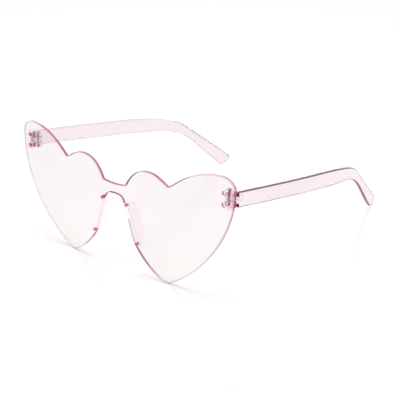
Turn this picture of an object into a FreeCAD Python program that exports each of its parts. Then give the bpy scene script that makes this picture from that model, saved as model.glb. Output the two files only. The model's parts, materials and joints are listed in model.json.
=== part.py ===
import FreeCAD, Part
import math
import os

# Rimless heart shaped glasses in millimetres. X runs across the face (+X is the wearer's left),
# Y runs back from the front to the ear hooks, and Z is up. Every piece is drawn in the lens frame,
# with the middle of the curved sheet at the origin, and then stands on the floor by one placement.

Vector = FreeCAD.Vector
doc = FreeCAD.newDocument("HeartGlasses")
sheet = doc.addObject("Spreadsheet::Sheet", "Sizes")

# Driving dimensions: alias, value, meaning. The heart outline is given for one half of the front.
SIZES = [
    ("lens_radius", 500.0, "radius of the curved sheet"),
    ("lens_thickness", 1.6, "thickness of the sheet"),
    ("rim_bevel", 0.25, "polished bevel on the edges of the sheet"),
    ("corner_round", 0.8, "round in the inner corners of the outline"),
    ("bridge_top", 11.55, "height of the top of the bridge at the middle"),
    ("bridge_bottom", 6.15, "height of the underside of the bridge at the middle"),
    ("bridge_reach", 6.7, "length of the flat pull of the bridge underside"),
    ("junction_x", 7.5, "where the bridge meets the inner lobe"),
    ("junction_z", 12.15, "height of that corner"),
    ("junction_pull_x", 2.9, "rise of the inner lobe from the corner, across"),
    ("junction_pull_z", 4.9, "rise of the inner lobe from the corner, up"),
    ("inner_lobe_x", 22.45, "top of the inner lobe"),
    ("inner_lobe_z", 22.55, "height of the inner lobe"),
    ("inner_lobe_pull_in", 8.6, "roundness of the inner lobe towards the bridge"),
    ("inner_lobe_pull_out", 6.2, "roundness of the inner lobe towards the notch"),
    ("notch_x", 35.35, "sharp notch of the heart"),
    ("notch_z", 17.65, "height of the notch"),
    ("notch_in_pull_x", 3.2, "fall of the inner lobe into the notch, across"),
    ("notch_in_pull_z", 0.95, "fall of the inner lobe into the notch, up"),
    ("notch_out_pull_x", 6.7, "rise of the outer lobe from the notch, across"),
    ("notch_out_pull_z", 5.15, "rise of the outer lobe from the notch, up"),
    ("outer_lobe_inset", 8.1, "top of the outer lobe in from the widest point"),
    ("outer_lobe_z", 29.45, "height of the outer lobe"),
    ("outer_lobe_pull_in", 14.4, "roundness of the outer lobe towards the notch"),
    ("outer_lobe_pull_out", 4.2, "roundness of the outer lobe towards the corner"),
    ("widest_x", 72.9, "half of the width of the front"),
    ("widest_z", 23.0, "height of the widest point"),
    ("widest_pull_up", 3.4, "roundness of the outer corner"),
    ("widest_pull_down", 24.3, "fall of the outer edge"),
    ("tip_x", 34.8, "tip of the heart"),
    ("front_height", 63.05, "height of the front, from the tip of the heart to its outer lobe"),
    ("tip_angle", 26.0, "slope of the edge at the tip in degrees"),
    ("tip_pull_out", 21.8, "length of the edge towards the tip, outer side"),
    ("tip_pull_in", 5.7, "roundness of the tip, inner side"),
    ("nasal_x", 11.65, "middle of the inner edge beside the nose"),
    ("nasal_z", -13.9, "height of that point"),
    ("nasal_angle", 106.4, "direction of the inner edge there in degrees"),
    ("nasal_pull_down", 9.0, "length of the inner edge below that point"),
    ("nasal_pull_up", 19.8, "length of the inner edge above that point"),
    ("bond_gap", 0.03, "gap between the sheet and what sits behind it"),
    ("peg_radius", 1.1, "radius of a peg through the sheet"),
    ("peg_clearance", 0.04, "radial clearance of a peg in its hole"),
    ("peg_proud", 0.25, "how far a peg stands out of the front"),
    ("hinge_inset", 6.7, "hinge axis in from the widest point of the front"),
    ("hinge_drop", 5.2, "middle of the hinge below the widest point"),
    ("plate_thickness", 1.8, "base plate of the hinge block at the axis"),
    ("plate_height", 9.6, "height of the base plate"),
    ("plate_lift", 0.4, "middle of the base plate above the middle of the hinge"),
    ("plate_start", 0.4, "inner side of the base plate outside the hinge axis"),
    ("peg_spacing", 5.8, "distance between the two pegs of a hinge block"),
    ("peg_out", 0.8, "pegs outside the hinge axis"),
    ("peg_lift", 0.9, "middle of the pegs above the middle of the hinge"),
    ("lug_radius", 2.0, "round of the fork lugs and of the tongue about the axis"),
    ("lug_height", 2.2, "height of one fork lug"),
    ("lug_reach", 4.7, "outer side of the lugs from the axis"),
    ("lug_round", 0.6, "round on the outer corners of the block"),
    ("tongue_height", 2.9, "height of the hinge tongue"),
    ("tongue_gap", 0.12, "gap above and below the tongue"),
    ("turning_gap", 0.3, "gap round the turning end of the tongue"),
    ("stop_gap", 0.12, "gap between the arm and the block where the open arm stops"),
    ("screw_radius", 0.6, "radius of the hinge screw"),
    ("screw_clearance", 0.04, "radial clearance of the screw in its bores"),
    ("head_radius", 1.15, "radius of the screw head"),
    ("head_height", 0.7, "height of the screw head"),
    ("head_bevel", 0.3, "bevel on the screw head"),
    ("head_seat", 0.03, "gap under the screw head"),
    ("slot_width", 0.35, "width of the screwdriver slot"),
    ("slot_depth", 0.35, "depth of the screwdriver slot"),
    ("temple_thickness", 2.2, "thickness of the arm"),
    ("temple_offset", 4.1, "middle of the arm outside the hinge axis"),
    ("temple_bevel", 0.35, "bevel on the long edges of the arm"),
    ("root_top", 3.9, "top of the arm above the middle of the hinge"),
    ("root_height", 7.9, "height of the arm at the hinge"),
    ("bend_y", 106.6, "corner of the top edge behind the hinge"),
    ("bend_drop", 10.4, "corner of the top edge below the middle of the hinge"),
    ("top_bend_before", 40.0, "start of the bend of the top edge before its corner"),
    ("top_bend_after", 10.5, "end of the bend of the top edge after its corner"),
    ("bend_back", 5.6, "corner of the low edge behind that of the top edge"),
    ("bend_height", 9.4, "corner of the low edge below that of the top edge"),
    ("low_bend_before", 13.4, "start of the bend of the low edge before its corner"),
    ("low_bend_after", 15.8, "end of the bend of the low edge after its corner"),
    ("top_hook_angle", 37.5, "fall of the top edge of the hook in degrees"),
    ("low_hook_angle", 42.7, "fall of the low edge of the hook in degrees"),
    ("hook_length", 53.0, "length of the hook along its top edge"),
    ("tip_setback", 13.4, "how far the low edge of the hook ends before its top edge"),
    ("tip_round_top", 5.2, "roundness of the end of the hook, top side"),
    ("tip_round_low", 5.0, "roundness of the end of the hook, low side"),
    ("bow_out", 0.1, "outward bow of the front half of the shank"),
    ("shank_length", 88.5, "straight shank before the arm turns inward"),
    ("shank_in", 2.6, "inward drift of the shank at its end"),
    ("shank_slope", 0.11, "inward slope at the end of the shank"),
    ("hook_in", 17.2, "inward drift of the arm at the end of the hook"),
    ("hook_slope", 0.09, "inward slope at the end of the hook"),
    ("mark_radius", 1.4, "radius of the moulding mark on the outside of the arm"),
    ("mark_depth", 0.15, "depth of the moulding mark"),
    ("mark_y", 2.0, "moulding mark behind the hinge axis"),
    ("mark_lift", 0.8, "moulding mark above the middle of the hinge"),
    ("pad_thickness", 1.4, "thickness of a nose pad"),
    ("pad_height", 23.7, "height of a nose pad along its seat"),
    ("pad_depth", 6.9, "how far a nose pad reaches back from its seat"),
    ("pad_inset", 1.9, "middle of the pad in from the inner edge of the heart"),
    ("pad_drop", 5.4, "lower end of the pad along its seat, below the middle of the inner edge"),
    ("pad_slant_angle", 18.1, "slant of the pad in degrees"),
    ("pad_splay_angle", 5.0, "inward turn of the pad towards the back in degrees"),
    ("pad_top_round", 6.7, "round of the upper back corner of a pad"),
    ("pad_low_round", 8.0, "round of the lower back corner of a pad"),
    ("pad_bevel", 0.45, "bevel on the edges of a pad"),
    ("pad_peg_radius", 0.9, "radius of a peg of a nose pad"),
    ("pad_peg_end", 1.6, "distance from the pad's end to the middle of a peg"),
]
for row, (alias, value, meaning) in enumerate(SIZES, start=1):
    sheet.set(f"A{row}", meaning)
    sheet.set(f"B{row}", str(value))
    sheet.setAlias(f"B{row}", alias)
doc.recompute()


def size(alias):
    """One driving dimension as a number."""
    return float(sheet.get(alias))


def bind(obj, **expressions):
    """Bind properties of an object to the sheet; a double underscore stands for a dot."""
    for name, expression in expressions.items():
        obj.setExpression(name.replace("__", "."), expression)


def place(obj, x="0", y="0", z="0"):
    """Bind the position of an object."""
    bind(obj, Placement__Base__x=x, Placement__Base__y=y, Placement__Base__z=z)


def turn(obj, axis, angle):
    """Turn an object about an axis through its own origin."""
    obj.Placement = FreeCAD.Placement(obj.Placement.Base, FreeCAD.Rotation(axis, angle))


def box(name, length, width, height):
    obj = doc.addObject("Part::Box", name)
    bind(obj, Length=length, Width=width, Height=height)
    return obj


def cylinder(name, radius, height):
    obj = doc.addObject("Part::Cylinder", name)
    bind(obj, Radius=radius, Height=height)
    return obj


def boolean(kind, name, base, tool):
    """A cut or a common of two objects."""
    obj = doc.addObject(f"Part::{kind}", name)
    obj.Base = base
    obj.Tool = tool
    return obj


def fuse(name, *pieces):
    obj = doc.addObject("Part::MultiFuse", name)
    obj.Shapes = list(pieces)
    obj.Refine = True
    return obj


def prism(name, face, direction, length):
    """A face drawn in code, extruded evenly to both sides."""
    profile = doc.addObject("Part::Feature", name + "Profile")
    profile.Shape = face
    obj = doc.addObject("Part::Extrusion", name)
    obj.Base = profile
    obj.DirMode = "Custom"
    obj.Dir = direction
    obj.Solid = True
    obj.Symmetric = True
    bind(obj, LengthFwd=length)
    return obj


def rounded(name, base, amount_alias, chosen, kind="Fillet"):
    """Round the edges of an object that a test chooses, or bevel them."""
    doc.recompute()
    amount = size(amount_alias)
    obj = doc.addObject(f"Part::{kind}", name)
    obj.Base = base
    edges = enumerate(base.Shape.Edges, start=1)
    obj.Edges = [(number, amount, amount) for number, edge in edges if chosen(edge)]
    return obj


def mirrored(name, source):
    """The same piece on the other side of the face."""
    obj = doc.addObject("Part::Mirroring", name)
    obj.Source = source
    obj.Normal = Vector(1, 0, 0)
    return obj


def bezier(*poles):
    curve = Part.BezierCurve()
    curve.setPoles(list(poles))
    return curve.toShape()


def line(start, end):
    return Part.LineSegment(start, end).toShape()


def heading(degrees):
    """A unit vector in the plane of the front, by its angle from +X."""
    angle = math.radians(degrees)
    return Vector(math.cos(angle), 0, math.sin(angle))


# The heart outline, one half, from the top of the bridge round to its underside.
def heart_spans():
    across = Vector(1, 0, 0)
    up = Vector(0, 0, 1)
    bridge_top = Vector(0, 0, size("bridge_top"))
    junction = Vector(size("junction_x"), 0, size("junction_z"))
    inner_lobe = Vector(size("inner_lobe_x"), 0, size("inner_lobe_z"))
    notch = Vector(size("notch_x"), 0, size("notch_z"))
    outer_lobe = Vector(size("widest_x") - size("outer_lobe_inset"), 0, size("outer_lobe_z"))
    widest = Vector(size("widest_x"), 0, size("widest_z"))
    tip = Vector(size("tip_x"), 0, size("outer_lobe_z") - size("front_height"))
    nasal = Vector(size("nasal_x"), 0, size("nasal_z"))
    bridge_bottom = Vector(0, 0, size("bridge_bottom"))
    junction_pull = Vector(size("junction_pull_x"), 0, size("junction_pull_z"))
    notch_in = Vector(-size("notch_in_pull_x"), 0, size("notch_in_pull_z"))
    notch_out = Vector(size("notch_out_pull_x"), 0, size("notch_out_pull_z"))
    tip_way = heading(size("tip_angle"))
    nasal_way = heading(size("nasal_angle"))
    return [
        (bridge_top, bridge_top + across * (size("junction_x") / 2), junction),
        (junction, junction + junction_pull, inner_lobe - across * size("inner_lobe_pull_in"), inner_lobe),
        (inner_lobe, inner_lobe + across * size("inner_lobe_pull_out"), notch + notch_in, notch),
        (notch, notch + notch_out, outer_lobe - across * size("outer_lobe_pull_in"), outer_lobe),
        (outer_lobe, outer_lobe + across * size("outer_lobe_pull_out"),
         widest + up * size("widest_pull_up"), widest),
        (widest, widest - up * size("widest_pull_down"), tip + tip_way * size("tip_pull_out"), tip),
        (tip, tip - tip_way * size("tip_pull_in"), nasal - nasal_way * size("nasal_pull_down"), nasal),
        (nasal, nasal + nasal_way * size("nasal_pull_up"), bridge_bottom + across * size("bridge_reach"),
         bridge_bottom),
    ]


def heart_face():
    """The whole front outline: one half and its mirror image."""
    half = heart_spans()
    edges = [bezier(*span) for span in half]
    for span in half:
        edges.append(bezier(*[Vector(-pole.x, pole.y, pole.z) for pole in span]))
    return Part.Face(Part.Wire(Part.__sortEdges__(edges)))


# Places that several pieces share, as expressions of the sheet.
BACK_RADIUS = "(Sizes.lens_radius - Sizes.lens_thickness)"
HINGE_X = "(Sizes.widest_x - Sizes.hinge_inset)"
HINGE_Z = "(Sizes.widest_z - Sizes.hinge_drop)"
SHEET_AT_HINGE = f"(Sizes.lens_radius - sqrt({BACK_RADIUS}^2 - {HINGE_X}^2 - {HINGE_Z}^2))"
PLATE_BACK = "(Sizes.lug_radius + Sizes.turning_gap)"
HINGE_Y = f"({SHEET_AT_HINGE} + Sizes.plate_thickness + {PLATE_BACK})"
FORK_HALF = "(Sizes.tongue_height / 2 + Sizes.tongue_gap + Sizes.lug_height)"
PAD_MIDDLE = "(Sizes.pad_height / 2 - Sizes.pad_drop)"
PAD_X = f"(Sizes.nasal_x + Sizes.pad_inset - {PAD_MIDDLE} * sin(Sizes.pad_slant_angle * 1 deg))"
PAD_Z = f"(Sizes.nasal_z + {PAD_MIDDLE} * cos(Sizes.pad_slant_angle * 1 deg))"
REACH_FORWARD = f"({SHEET_AT_HINGE} + Sizes.plate_thickness + Sizes.lens_thickness)"


def ball(name, radius):
    """A ball about the centre of the sheet's curve."""
    obj = doc.addObject("Part::Sphere", name)
    bind(obj, Radius=radius)
    place(obj, y="Sizes.lens_radius")
    return obj


behind_sheet = ball("BehindSheet", f"{BACK_RADIUS} - Sizes.bond_gap")
peg_limit = ball("PegLimit", "Sizes.lens_radius + Sizes.peg_proud")


def peg(name, radius, x, z, back):
    """A rod along Y from before the front of the sheet to a depth behind it."""
    obj = cylinder(name, radius, f"{back} + Sizes.lens_thickness")
    turn(obj, Vector(1, 0, 0), -90)
    place(obj, x, "-Sizes.lens_thickness", z)
    return obj


HINGE_PEGS = [
    (f"{HINGE_X} + Sizes.peg_out", f"{HINGE_Z} + Sizes.peg_lift + {side} * Sizes.peg_spacing / 2")
    for side in (1, -1)
]
PAD_PEG_ARM = "(Sizes.pad_height / 2 - Sizes.pad_peg_end)"
PAD_PEGS = [
    (f"{PAD_X} - {side} * {PAD_PEG_ARM} * sin(Sizes.pad_slant_angle * 1 deg)",
     f"{PAD_Z} + {side} * {PAD_PEG_ARM} * cos(Sizes.pad_slant_angle * 1 deg)")
    for side in (1, -1)
]


# The one-piece front: the heart outline cut from a spherical sheet, with holes for the pegs.
def make_lens():
    prismatic = prism("HeartPrism", heart_face(), Vector(0, 1, 0), "Sizes.widest_x")
    corners = (size("junction_x"), size("notch_x"))

    def inner_corner(edge):
        narrow = edge.BoundBox.XLength < size("bond_gap")
        return narrow and min(abs(abs(edge.CenterOfMass.x) - x) for x in corners) < size("bond_gap")

    blank = rounded("HeartBlank", prismatic, "corner_round", inner_corner)
    front = ball("FrontBall", "Sizes.lens_radius")
    back = ball("BackBall", BACK_RADIUS)
    shell = boolean("Cut", "CurvedSheet", front, back)
    hearts = boolean("Common", "HeartSheet", blank, shell)
    wall = size("lens_thickness") + size("rim_bevel")
    polished = rounded("PolishedSheet", hearts, "rim_bevel", lambda edge: edge.Length > wall, "Chamfer")
    holes = []
    for number, (x, z) in enumerate(HINGE_PEGS):
        radius = "Sizes.peg_radius + Sizes.peg_clearance"
        holes.append(peg(f"HingeHole{number}", radius, x, z, HINGE_Y))
    for number, (x, z) in enumerate(PAD_PEGS):
        radius = "Sizes.pad_peg_radius + Sizes.peg_clearance"
        holes.append(peg(f"PadHole{number}", radius, x, z, HINGE_Y))
    left = fuse("LeftHoles", *holes)
    both = fuse("PegHoles", left, mirrored("RightHoles", left))
    return boolean("Cut", "LensShield", polished, both)


def pegged(name, seated, places, radius, back):
    """Join the pegs to a piece that sits behind the sheet; their ends stand a little proud of it."""
    rods = [peg(f"{name}Rod{number}", radius, x, z, back) for number, (x, z) in enumerate(places)]
    trimmed = boolean("Common", name + "Pegs", fuse(name + "Rods", *rods), peg_limit)
    return fuse(name, seated, trimmed)


# The hinge block: a plate behind the sheet, two pegs, and a fork of two lugs about the hinge axis.
def make_hinge_block():
    width = "Sizes.lug_reach - Sizes.plate_start"
    plate = box("Plate", width, REACH_FORWARD, "Sizes.plate_height")
    plate_low = "Sizes.plate_lift - Sizes.plate_height / 2"
    place(plate, "Sizes.plate_start", f"-{PLATE_BACK} - {REACH_FORWARD}", plate_low)
    pieces = [plate]
    for name, low in (("Upper", "Sizes.tongue_height / 2 + Sizes.tongue_gap"), ("Lower", f"-{FORK_HALF}")):
        arm = box(name + "LugArm", width, PLATE_BACK, "Sizes.lug_height")
        place(arm, "Sizes.plate_start", f"-{PLATE_BACK}", low)
        eye = cylinder(name + "LugEye", "Sizes.lug_radius", "Sizes.lug_height")
        place(eye, z=low)
        pieces += [arm, eye]
    body = fuse("BlockBody", *pieces)
    outside = size("lug_reach") - size("rim_bevel")

    def outer_corner(edge):
        return edge.BoundBox.XMin > outside and edge.BoundBox.ZLength > size("rim_bevel")

    soft = rounded("BlockRounded", body, "lug_round", outer_corner)
    bore = cylinder("BlockBore", "Sizes.screw_radius + Sizes.screw_clearance", f"4 * {FORK_HALF}")
    place(bore, z=f"-2 * {FORK_HALF}")
    bored = boolean("Cut", "BlockBored", soft, bore)
    place(bored, HINGE_X, HINGE_Y, HINGE_Z)
    seated = boolean("Common", "BlockSeated", bored, behind_sheet)
    plate_middle = f"({SHEET_AT_HINGE} + Sizes.plate_thickness / 2)"
    return pegged("LeftHingeBlock", seated, HINGE_PEGS, "Sizes.peg_radius", plate_middle)


# The hinge screw: a shank through fork and tongue, and a low head with a screwdriver slot.
def make_screw():
    shank = cylinder("ScrewShank", "Sizes.screw_radius", f"2 * {FORK_HALF} + Sizes.head_seat")
    place(shank, z=f"-{FORK_HALF}")
    head = cylinder("ScrewHead", "Sizes.head_radius", "Sizes.head_height")
    place(head, z=f"{FORK_HALF} + Sizes.head_seat")
    turned = fuse("ScrewTurned", shank, head)
    doc.recompute()
    below_crown = turned.Shape.BoundBox.ZMax - size("slot_depth")

    def crown(edge):
        return edge.BoundBox.ZMin > below_crown

    domed = rounded("ScrewDomed", turned, "head_bevel", crown, "Chamfer")
    slot = box("ScrewSlot", "4 * Sizes.head_radius", "Sizes.slot_width", "2 * Sizes.slot_depth")
    place(slot, "-2 * Sizes.head_radius", "-Sizes.slot_width / 2",
          f"{FORK_HALF} + Sizes.head_seat + Sizes.head_height - Sizes.slot_depth")
    screw = boolean("Cut", "LeftHingeScrew", domed, slot)
    place(screw, HINGE_X, HINGE_Y, HINGE_Z)
    return screw


# The arm, drawn about the hinge axis: a side outline and a plan outline give its solid together.
def arm_edge(root_z, corner, before, after, slope, length):
    """One long edge of the side outline: shank line, bend, hook line, and the end of the hook."""
    root = Vector(0, size("stop_gap"), root_z)
    shank = (corner - root).normalize()
    hook = Vector(0, math.cos(math.radians(slope)), -math.sin(math.radians(slope)))
    start = corner - shank * before
    finish = corner + hook * after
    end = corner + hook * length
    return [line(root, start), bezier(start, corner, finish), line(finish, end)], root, end, hook


def arm_side():
    """The side outline of the arm, closed by its shoulder and its rounded end."""
    top_corner = Vector(0, size("bend_y"), -size("bend_drop"))
    low_corner = top_corner + Vector(0, size("bend_back"), -size("bend_height"))
    top, top_root, top_end, top_way = arm_edge(
        size("root_top"), top_corner, size("top_bend_before"), size("top_bend_after"),
        size("top_hook_angle"), size("hook_length"))
    low, low_root, low_end, low_way = arm_edge(
        size("root_top") - size("root_height"), low_corner, size("low_bend_before"), size("low_bend_after"),
        size("low_hook_angle"), size("hook_length") - size("tip_setback"))
    end = bezier(top_end, top_end + top_way * size("tip_round_top"),
                 low_end + low_way * size("tip_round_low"), low_end)
    shoulder = line(low_root, top_root)
    return Part.Face(Part.Wire(Part.__sortEdges__(top + low + [end, shoulder])))


def arm_plan():
    """The plan outline of the arm: a bowed shank, then the inward turn of the hook."""
    reach = size("bend_y") + size("hook_length")
    shank = size("shank_length")
    sides = []
    ends = []
    for side in (-1, 1):
        middle = size("temple_offset") + side * size("temple_thickness") / 2
        root = Vector(middle, 0, 0)
        bow = Vector(middle + size("bow_out"), shank / 3, 0)
        turn_point = Vector(middle - size("shank_in"), shank, 0)
        before = turn_point + Vector(size("shank_slope"), -1, 0) * (shank / 3)
        after = turn_point - Vector(size("shank_slope"), -1, 0) * ((reach - shank) / 3)
        end = Vector(middle - size("hook_in"), reach, 0)
        inward = end + Vector(size("hook_slope"), -1, 0) * ((reach - shank) / 3)
        sides += [bezier(root, bow, before, turn_point), bezier(turn_point, after, inward, end)]
        ends.append((root, end))
    caps = [line(ends[0][at], ends[1][at]) for at in (0, 1)]
    return Part.Face(Part.Wire(Part.__sortEdges__(sides + caps)))


def make_temple():
    side = prism("ArmSide", arm_side(), Vector(1, 0, 0), "4 * Sizes.hook_in")
    plan = prism("ArmPlan", arm_plan(), Vector(0, 0, 1), "4 * Sizes.hook_length")
    blank = boolean("Common", "ArmBlank", side, plan)
    shoulder = 2 * size("stop_gap")

    def long_edge(edge):
        return edge.Length > size("root_height") and edge.BoundBox.YMax > shoulder

    smooth = rounded("ArmSmooth", blank, "temple_bevel", long_edge, "Chamfer")
    tongue = box("TongueArm", "Sizes.temple_offset", "2 * Sizes.lug_radius", "Sizes.tongue_height")
    place(tongue, y="-Sizes.lug_radius", z="-Sizes.tongue_height / 2")
    eye = cylinder("TongueEye", "Sizes.lug_radius", "Sizes.tongue_height")
    place(eye, z="-Sizes.tongue_height / 2")
    joined = fuse("ArmJoined", smooth, tongue, eye)
    bore = cylinder("TongueBore", "Sizes.screw_radius + Sizes.screw_clearance", "2 * Sizes.tongue_height")
    place(bore, z="-Sizes.tongue_height")
    mark = cylinder("MouldingMark", "Sizes.mark_radius", "Sizes.temple_thickness")
    turn(mark, Vector(0, 1, 0), 90)
    place(mark, "Sizes.temple_offset + Sizes.temple_thickness / 2 - Sizes.mark_depth", "Sizes.mark_y",
          "Sizes.mark_lift")
    temple = boolean("Cut", "LeftTemple", joined, fuse("ArmCuts", bore, mark))
    place(temple, HINGE_X, HINGE_Y, HINGE_Z)
    return temple


# The nose pad: a rounded wing behind the inner edge of the heart, on two pegs.
def make_nose_pad():
    depth = "Sizes.pad_depth + 2 * Sizes.lens_thickness"
    wing = box("PadWing", "Sizes.pad_thickness", depth, "Sizes.pad_height")
    place(wing, "-Sizes.pad_thickness / 2", "-Sizes.lens_thickness", "-Sizes.pad_height / 2")
    doc.recompute()
    limits = wing.Shape.BoundBox

    def back_corner(top):
        level = limits.ZMax if top else limits.ZMin
        return lambda edge: (abs(edge.BoundBox.ZMin - level) + abs(edge.BoundBox.ZMax - level)
                             + abs(edge.BoundBox.YMin - limits.YMax) < size("bond_gap"))

    upper = rounded("PadUpper", wing, "pad_top_round", back_corner(True))
    lower = rounded("PadLower", upper, "pad_low_round", back_corner(False))
    front = limits.YMin + size("bond_gap")

    def rim(edge):
        return edge.BoundBox.YMax > front and edge.BoundBox.XLength < size("bond_gap")

    soft = rounded("PadSoft", lower, "pad_bevel", rim, "Chamfer")
    slant = FreeCAD.Rotation(Vector(0, 1, 0), -size("pad_slant_angle"))
    splay = FreeCAD.Rotation(Vector(0, 0, 1), size("pad_splay_angle"))
    soft.Placement = FreeCAD.Placement(Vector(), slant.multiply(splay))
    place(soft, PAD_X, "0", PAD_Z)
    seated = boolean("Common", "PadSeated", soft, behind_sheet)
    peg_end = "(2 * Sizes.lens_thickness + Sizes.pad_peg_radius)"
    return pegged("LeftNosePad", seated, PAD_PEGS, "Sizes.pad_peg_radius", peg_end)


lens = make_lens()
left_pieces = {
    "hinge_block": make_hinge_block(),
    "hinge_screw": make_screw(),
    "temple": make_temple(),
    "nose_pad": make_nose_pad(),
}
doc.recompute()


# The glasses stand on the tips of the hearts and the ends of the hooks, so they lean back a little.
def cloud(obj):
    """Points all over an object, fine enough to find what it stands on."""
    return obj.Shape.tessellate(size("bond_gap"))[0]


def lowest(points, lean):
    """The least height of the points once they lean back by an angle."""
    return min(point.y * math.sin(lean) + point.z * math.cos(lean) for point in points)


STEEPEST_ANGLE = math.radians(20)
HALVINGS = 40
front_points = cloud(lens) + cloud(left_pieces["nose_pad"])
arm_points = cloud(left_pieces["temple"])
low_lean, high_lean = -STEEPEST_ANGLE, STEEPEST_ANGLE
for _ in range(HALVINGS):
    lean = (low_lean + high_lean) / 2
    if lowest(arm_points, lean) < lowest(front_points, lean):
        low_lean = lean
    else:
        high_lean = lean
depths = [point.y * math.cos(lean) - point.z * math.sin(lean) for point in front_points + arm_points]
standing = FreeCAD.Placement(
    Vector(0, -(min(depths) + max(depths)) / 2, -lowest(front_points, lean)),
    FreeCAD.Rotation(Vector(1, 0, 0), math.degrees(lean)))


def standing_node(label, piece):
    """One named piece of the glasses as they stand."""
    obj = doc.addObject("Part::Compound", "Standing" + piece.Name)
    obj.Links = [piece]
    obj.Label = label
    obj.Placement = standing
    return obj


nodes = [standing_node("lens_shield", lens)]
for name, piece in left_pieces.items():
    left = standing_node("left_" + name, piece)
    right = mirrored("Right" + piece.Name, left)
    right.Label = "right_" + name
    nodes += [left, right]
doc.recompute()

for obj in doc.Objects:
    if "Invalid" in obj.State or "Error" in obj.State:
        raise RuntimeError(f"{obj.Name} failed: {obj.State}")
for node in nodes:
    if node.Shape.isNull() or not node.Shape.isValid() or len(node.Shape.Solids) != 1:
        raise RuntimeError(f"{node.Label} is not one valid solid")

os.makedirs("parts", exist_ok=True)
for node in nodes:
    node.Shape.exportStep(f"parts/{node.Label}.step")

hinge = standing.multVec(left_pieces["temple"].Placement.Base)
axis = standing.Rotation.multVec(Vector(0, 0, 1))
print("lean", math.degrees(lean), "left hinge", hinge, "axis", axis)
for node in nodes:
    print(node.Label, node.Shape.BoundBox, round(node.Shape.Volume, 2))
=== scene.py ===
import json
import logging
import math
from abc import ABC, abstractmethod
from collections.abc import Callable, Iterable, Sequence
from dataclasses import dataclass
from enum import Enum

import bpy
import numpy as np
from mathutils import Matrix, Vector
from mathutils.geometry import delaunay_2d_cdt

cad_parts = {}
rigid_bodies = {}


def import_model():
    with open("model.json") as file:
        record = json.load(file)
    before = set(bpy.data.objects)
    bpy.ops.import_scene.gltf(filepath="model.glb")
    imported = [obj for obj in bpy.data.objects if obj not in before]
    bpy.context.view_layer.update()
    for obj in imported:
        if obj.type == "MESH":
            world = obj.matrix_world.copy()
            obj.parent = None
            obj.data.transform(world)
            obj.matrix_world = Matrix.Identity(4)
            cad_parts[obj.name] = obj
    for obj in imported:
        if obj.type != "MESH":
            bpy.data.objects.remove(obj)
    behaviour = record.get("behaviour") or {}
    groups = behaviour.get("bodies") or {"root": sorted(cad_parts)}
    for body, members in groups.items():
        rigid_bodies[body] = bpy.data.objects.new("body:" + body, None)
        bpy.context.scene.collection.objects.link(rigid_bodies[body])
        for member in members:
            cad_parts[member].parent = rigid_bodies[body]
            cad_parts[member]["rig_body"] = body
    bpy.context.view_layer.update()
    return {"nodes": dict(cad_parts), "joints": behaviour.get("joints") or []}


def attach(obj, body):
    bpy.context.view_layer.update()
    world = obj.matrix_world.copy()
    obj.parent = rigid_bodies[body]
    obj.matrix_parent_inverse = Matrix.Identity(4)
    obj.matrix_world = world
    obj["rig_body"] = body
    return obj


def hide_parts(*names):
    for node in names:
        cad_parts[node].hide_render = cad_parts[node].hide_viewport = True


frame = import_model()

# Rimless heart shaped glasses. The sizes in the classes are millimetres in the lens frame: X runs
# across the face, Y back to the ears, Z up, with the middle of the curved sheet at the origin.
# The Stand sets what is drawn there on the floor, in metres.

MM = 0.001  # metres in a millimetre
SLIP = 1e-4  # distance below which two points are one, mm
SPECK = 1e-12  # least length that anything is divided by
WELD = 1e-6  # distance below which the fill of a face joins points, mm
PROBE = 0.01  # step by which the directions of a surface are felt, mm
SHARP = 0.94  # cosine between two edges below which they make a corner
FACING = 0.8  # cosine above which a wall faces a direction
OUTER_SHARE = 0.6  # most of an edge that the round of an outer corner takes
INNER_SHARE = 0.3  # most of an edge that the round of an inner corner takes
WALL_SHARE = 0.4  # most of the wall beside a hole that a round takes
EASE_STEP = 0.08  # step along the small rounds of an outline, mm
SOFT_STEP = 0.12  # step along the round between two spans, mm
CORNER_ROUNDS = 2.0  # cut of a corner, in rounds of the edge
ROUND_FACETS = 4  # facets across the round of an edge
HALF_CIRCLE = 20  # facets in half a circle
CURVE_LEAST = 2  # fewest steps along a curve
ARC_LEAST = 3  # fewest steps along an arc
FILL_GAP = 0.55  # distance of a face's inner points from the rim, in spacings
INSIDE_EDGES = 1  # fill mode that keeps the triangles within the outline
PEG_ROUND = 0.2  # round of a peg's ends, mm

Pair = tuple[float, float]
Triple = tuple[float, float, float]
Point = Pair
Colour = Triple
Surface = Callable[[np.ndarray, np.ndarray, np.ndarray], np.ndarray]
Zoning = Callable[[np.ndarray, np.ndarray, "Zone"], np.ndarray]

log = logging.getLogger("heart_glasses")


class Side(Enum):
    """The wearer's side of a paired piece; the value is the sign of its X."""

    LEFT = 1
    RIGHT = -1

    def named(self, piece: str) -> str:
        """The name of a piece on this side."""
        return f"{self.name.lower()}_{piece}"


class Zone(Enum):
    """Stretches of a plate's surface with finishes of their own; the value is the material index."""

    FACE = 0
    RIM = 1
    FAR_RIM = 2
    # END: ends that butt against other parts; the dark finish on the lugs' backs and the arm's shoulder is
    # painted shade.
    END = 3
    # SEAT: the edge behind a pad's seat, painted grey from inside as the shade of that seat.
    SEAT = 4


# Outlines ---------------------------------------------------------------------------------------


def unit(rows: np.ndarray) -> np.ndarray:
    """Rows scaled to length one."""
    return rows / np.maximum(np.linalg.norm(rows, axis=1, keepdims=True), SPECK)


def sideways(run: np.ndarray) -> np.ndarray:
    """Directions to the right of a run, of length one."""
    return unit(np.column_stack((run[:, 1], -run[:, 0])))


def outwards(loop: np.ndarray) -> np.ndarray:
    """Directions to the right of a closed loop, of length one."""
    return sideways(np.roll(loop, -1, axis=0) - np.roll(loop, 1, axis=0))


def blended(poles: list[np.ndarray], weights: np.ndarray) -> np.ndarray:
    """Blend the poles of a Bezier curve down to points of it.

    Args:
        poles: The poles, each repeated for every point.
        weights: Places of the points along the curve, from 0 to 1.

    Returns:
        The points.
    """
    while len(poles) > 1:
        poles = [near + (far - near) * weights for near, far in zip(poles, poles[1:])]
    return poles[0]


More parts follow.
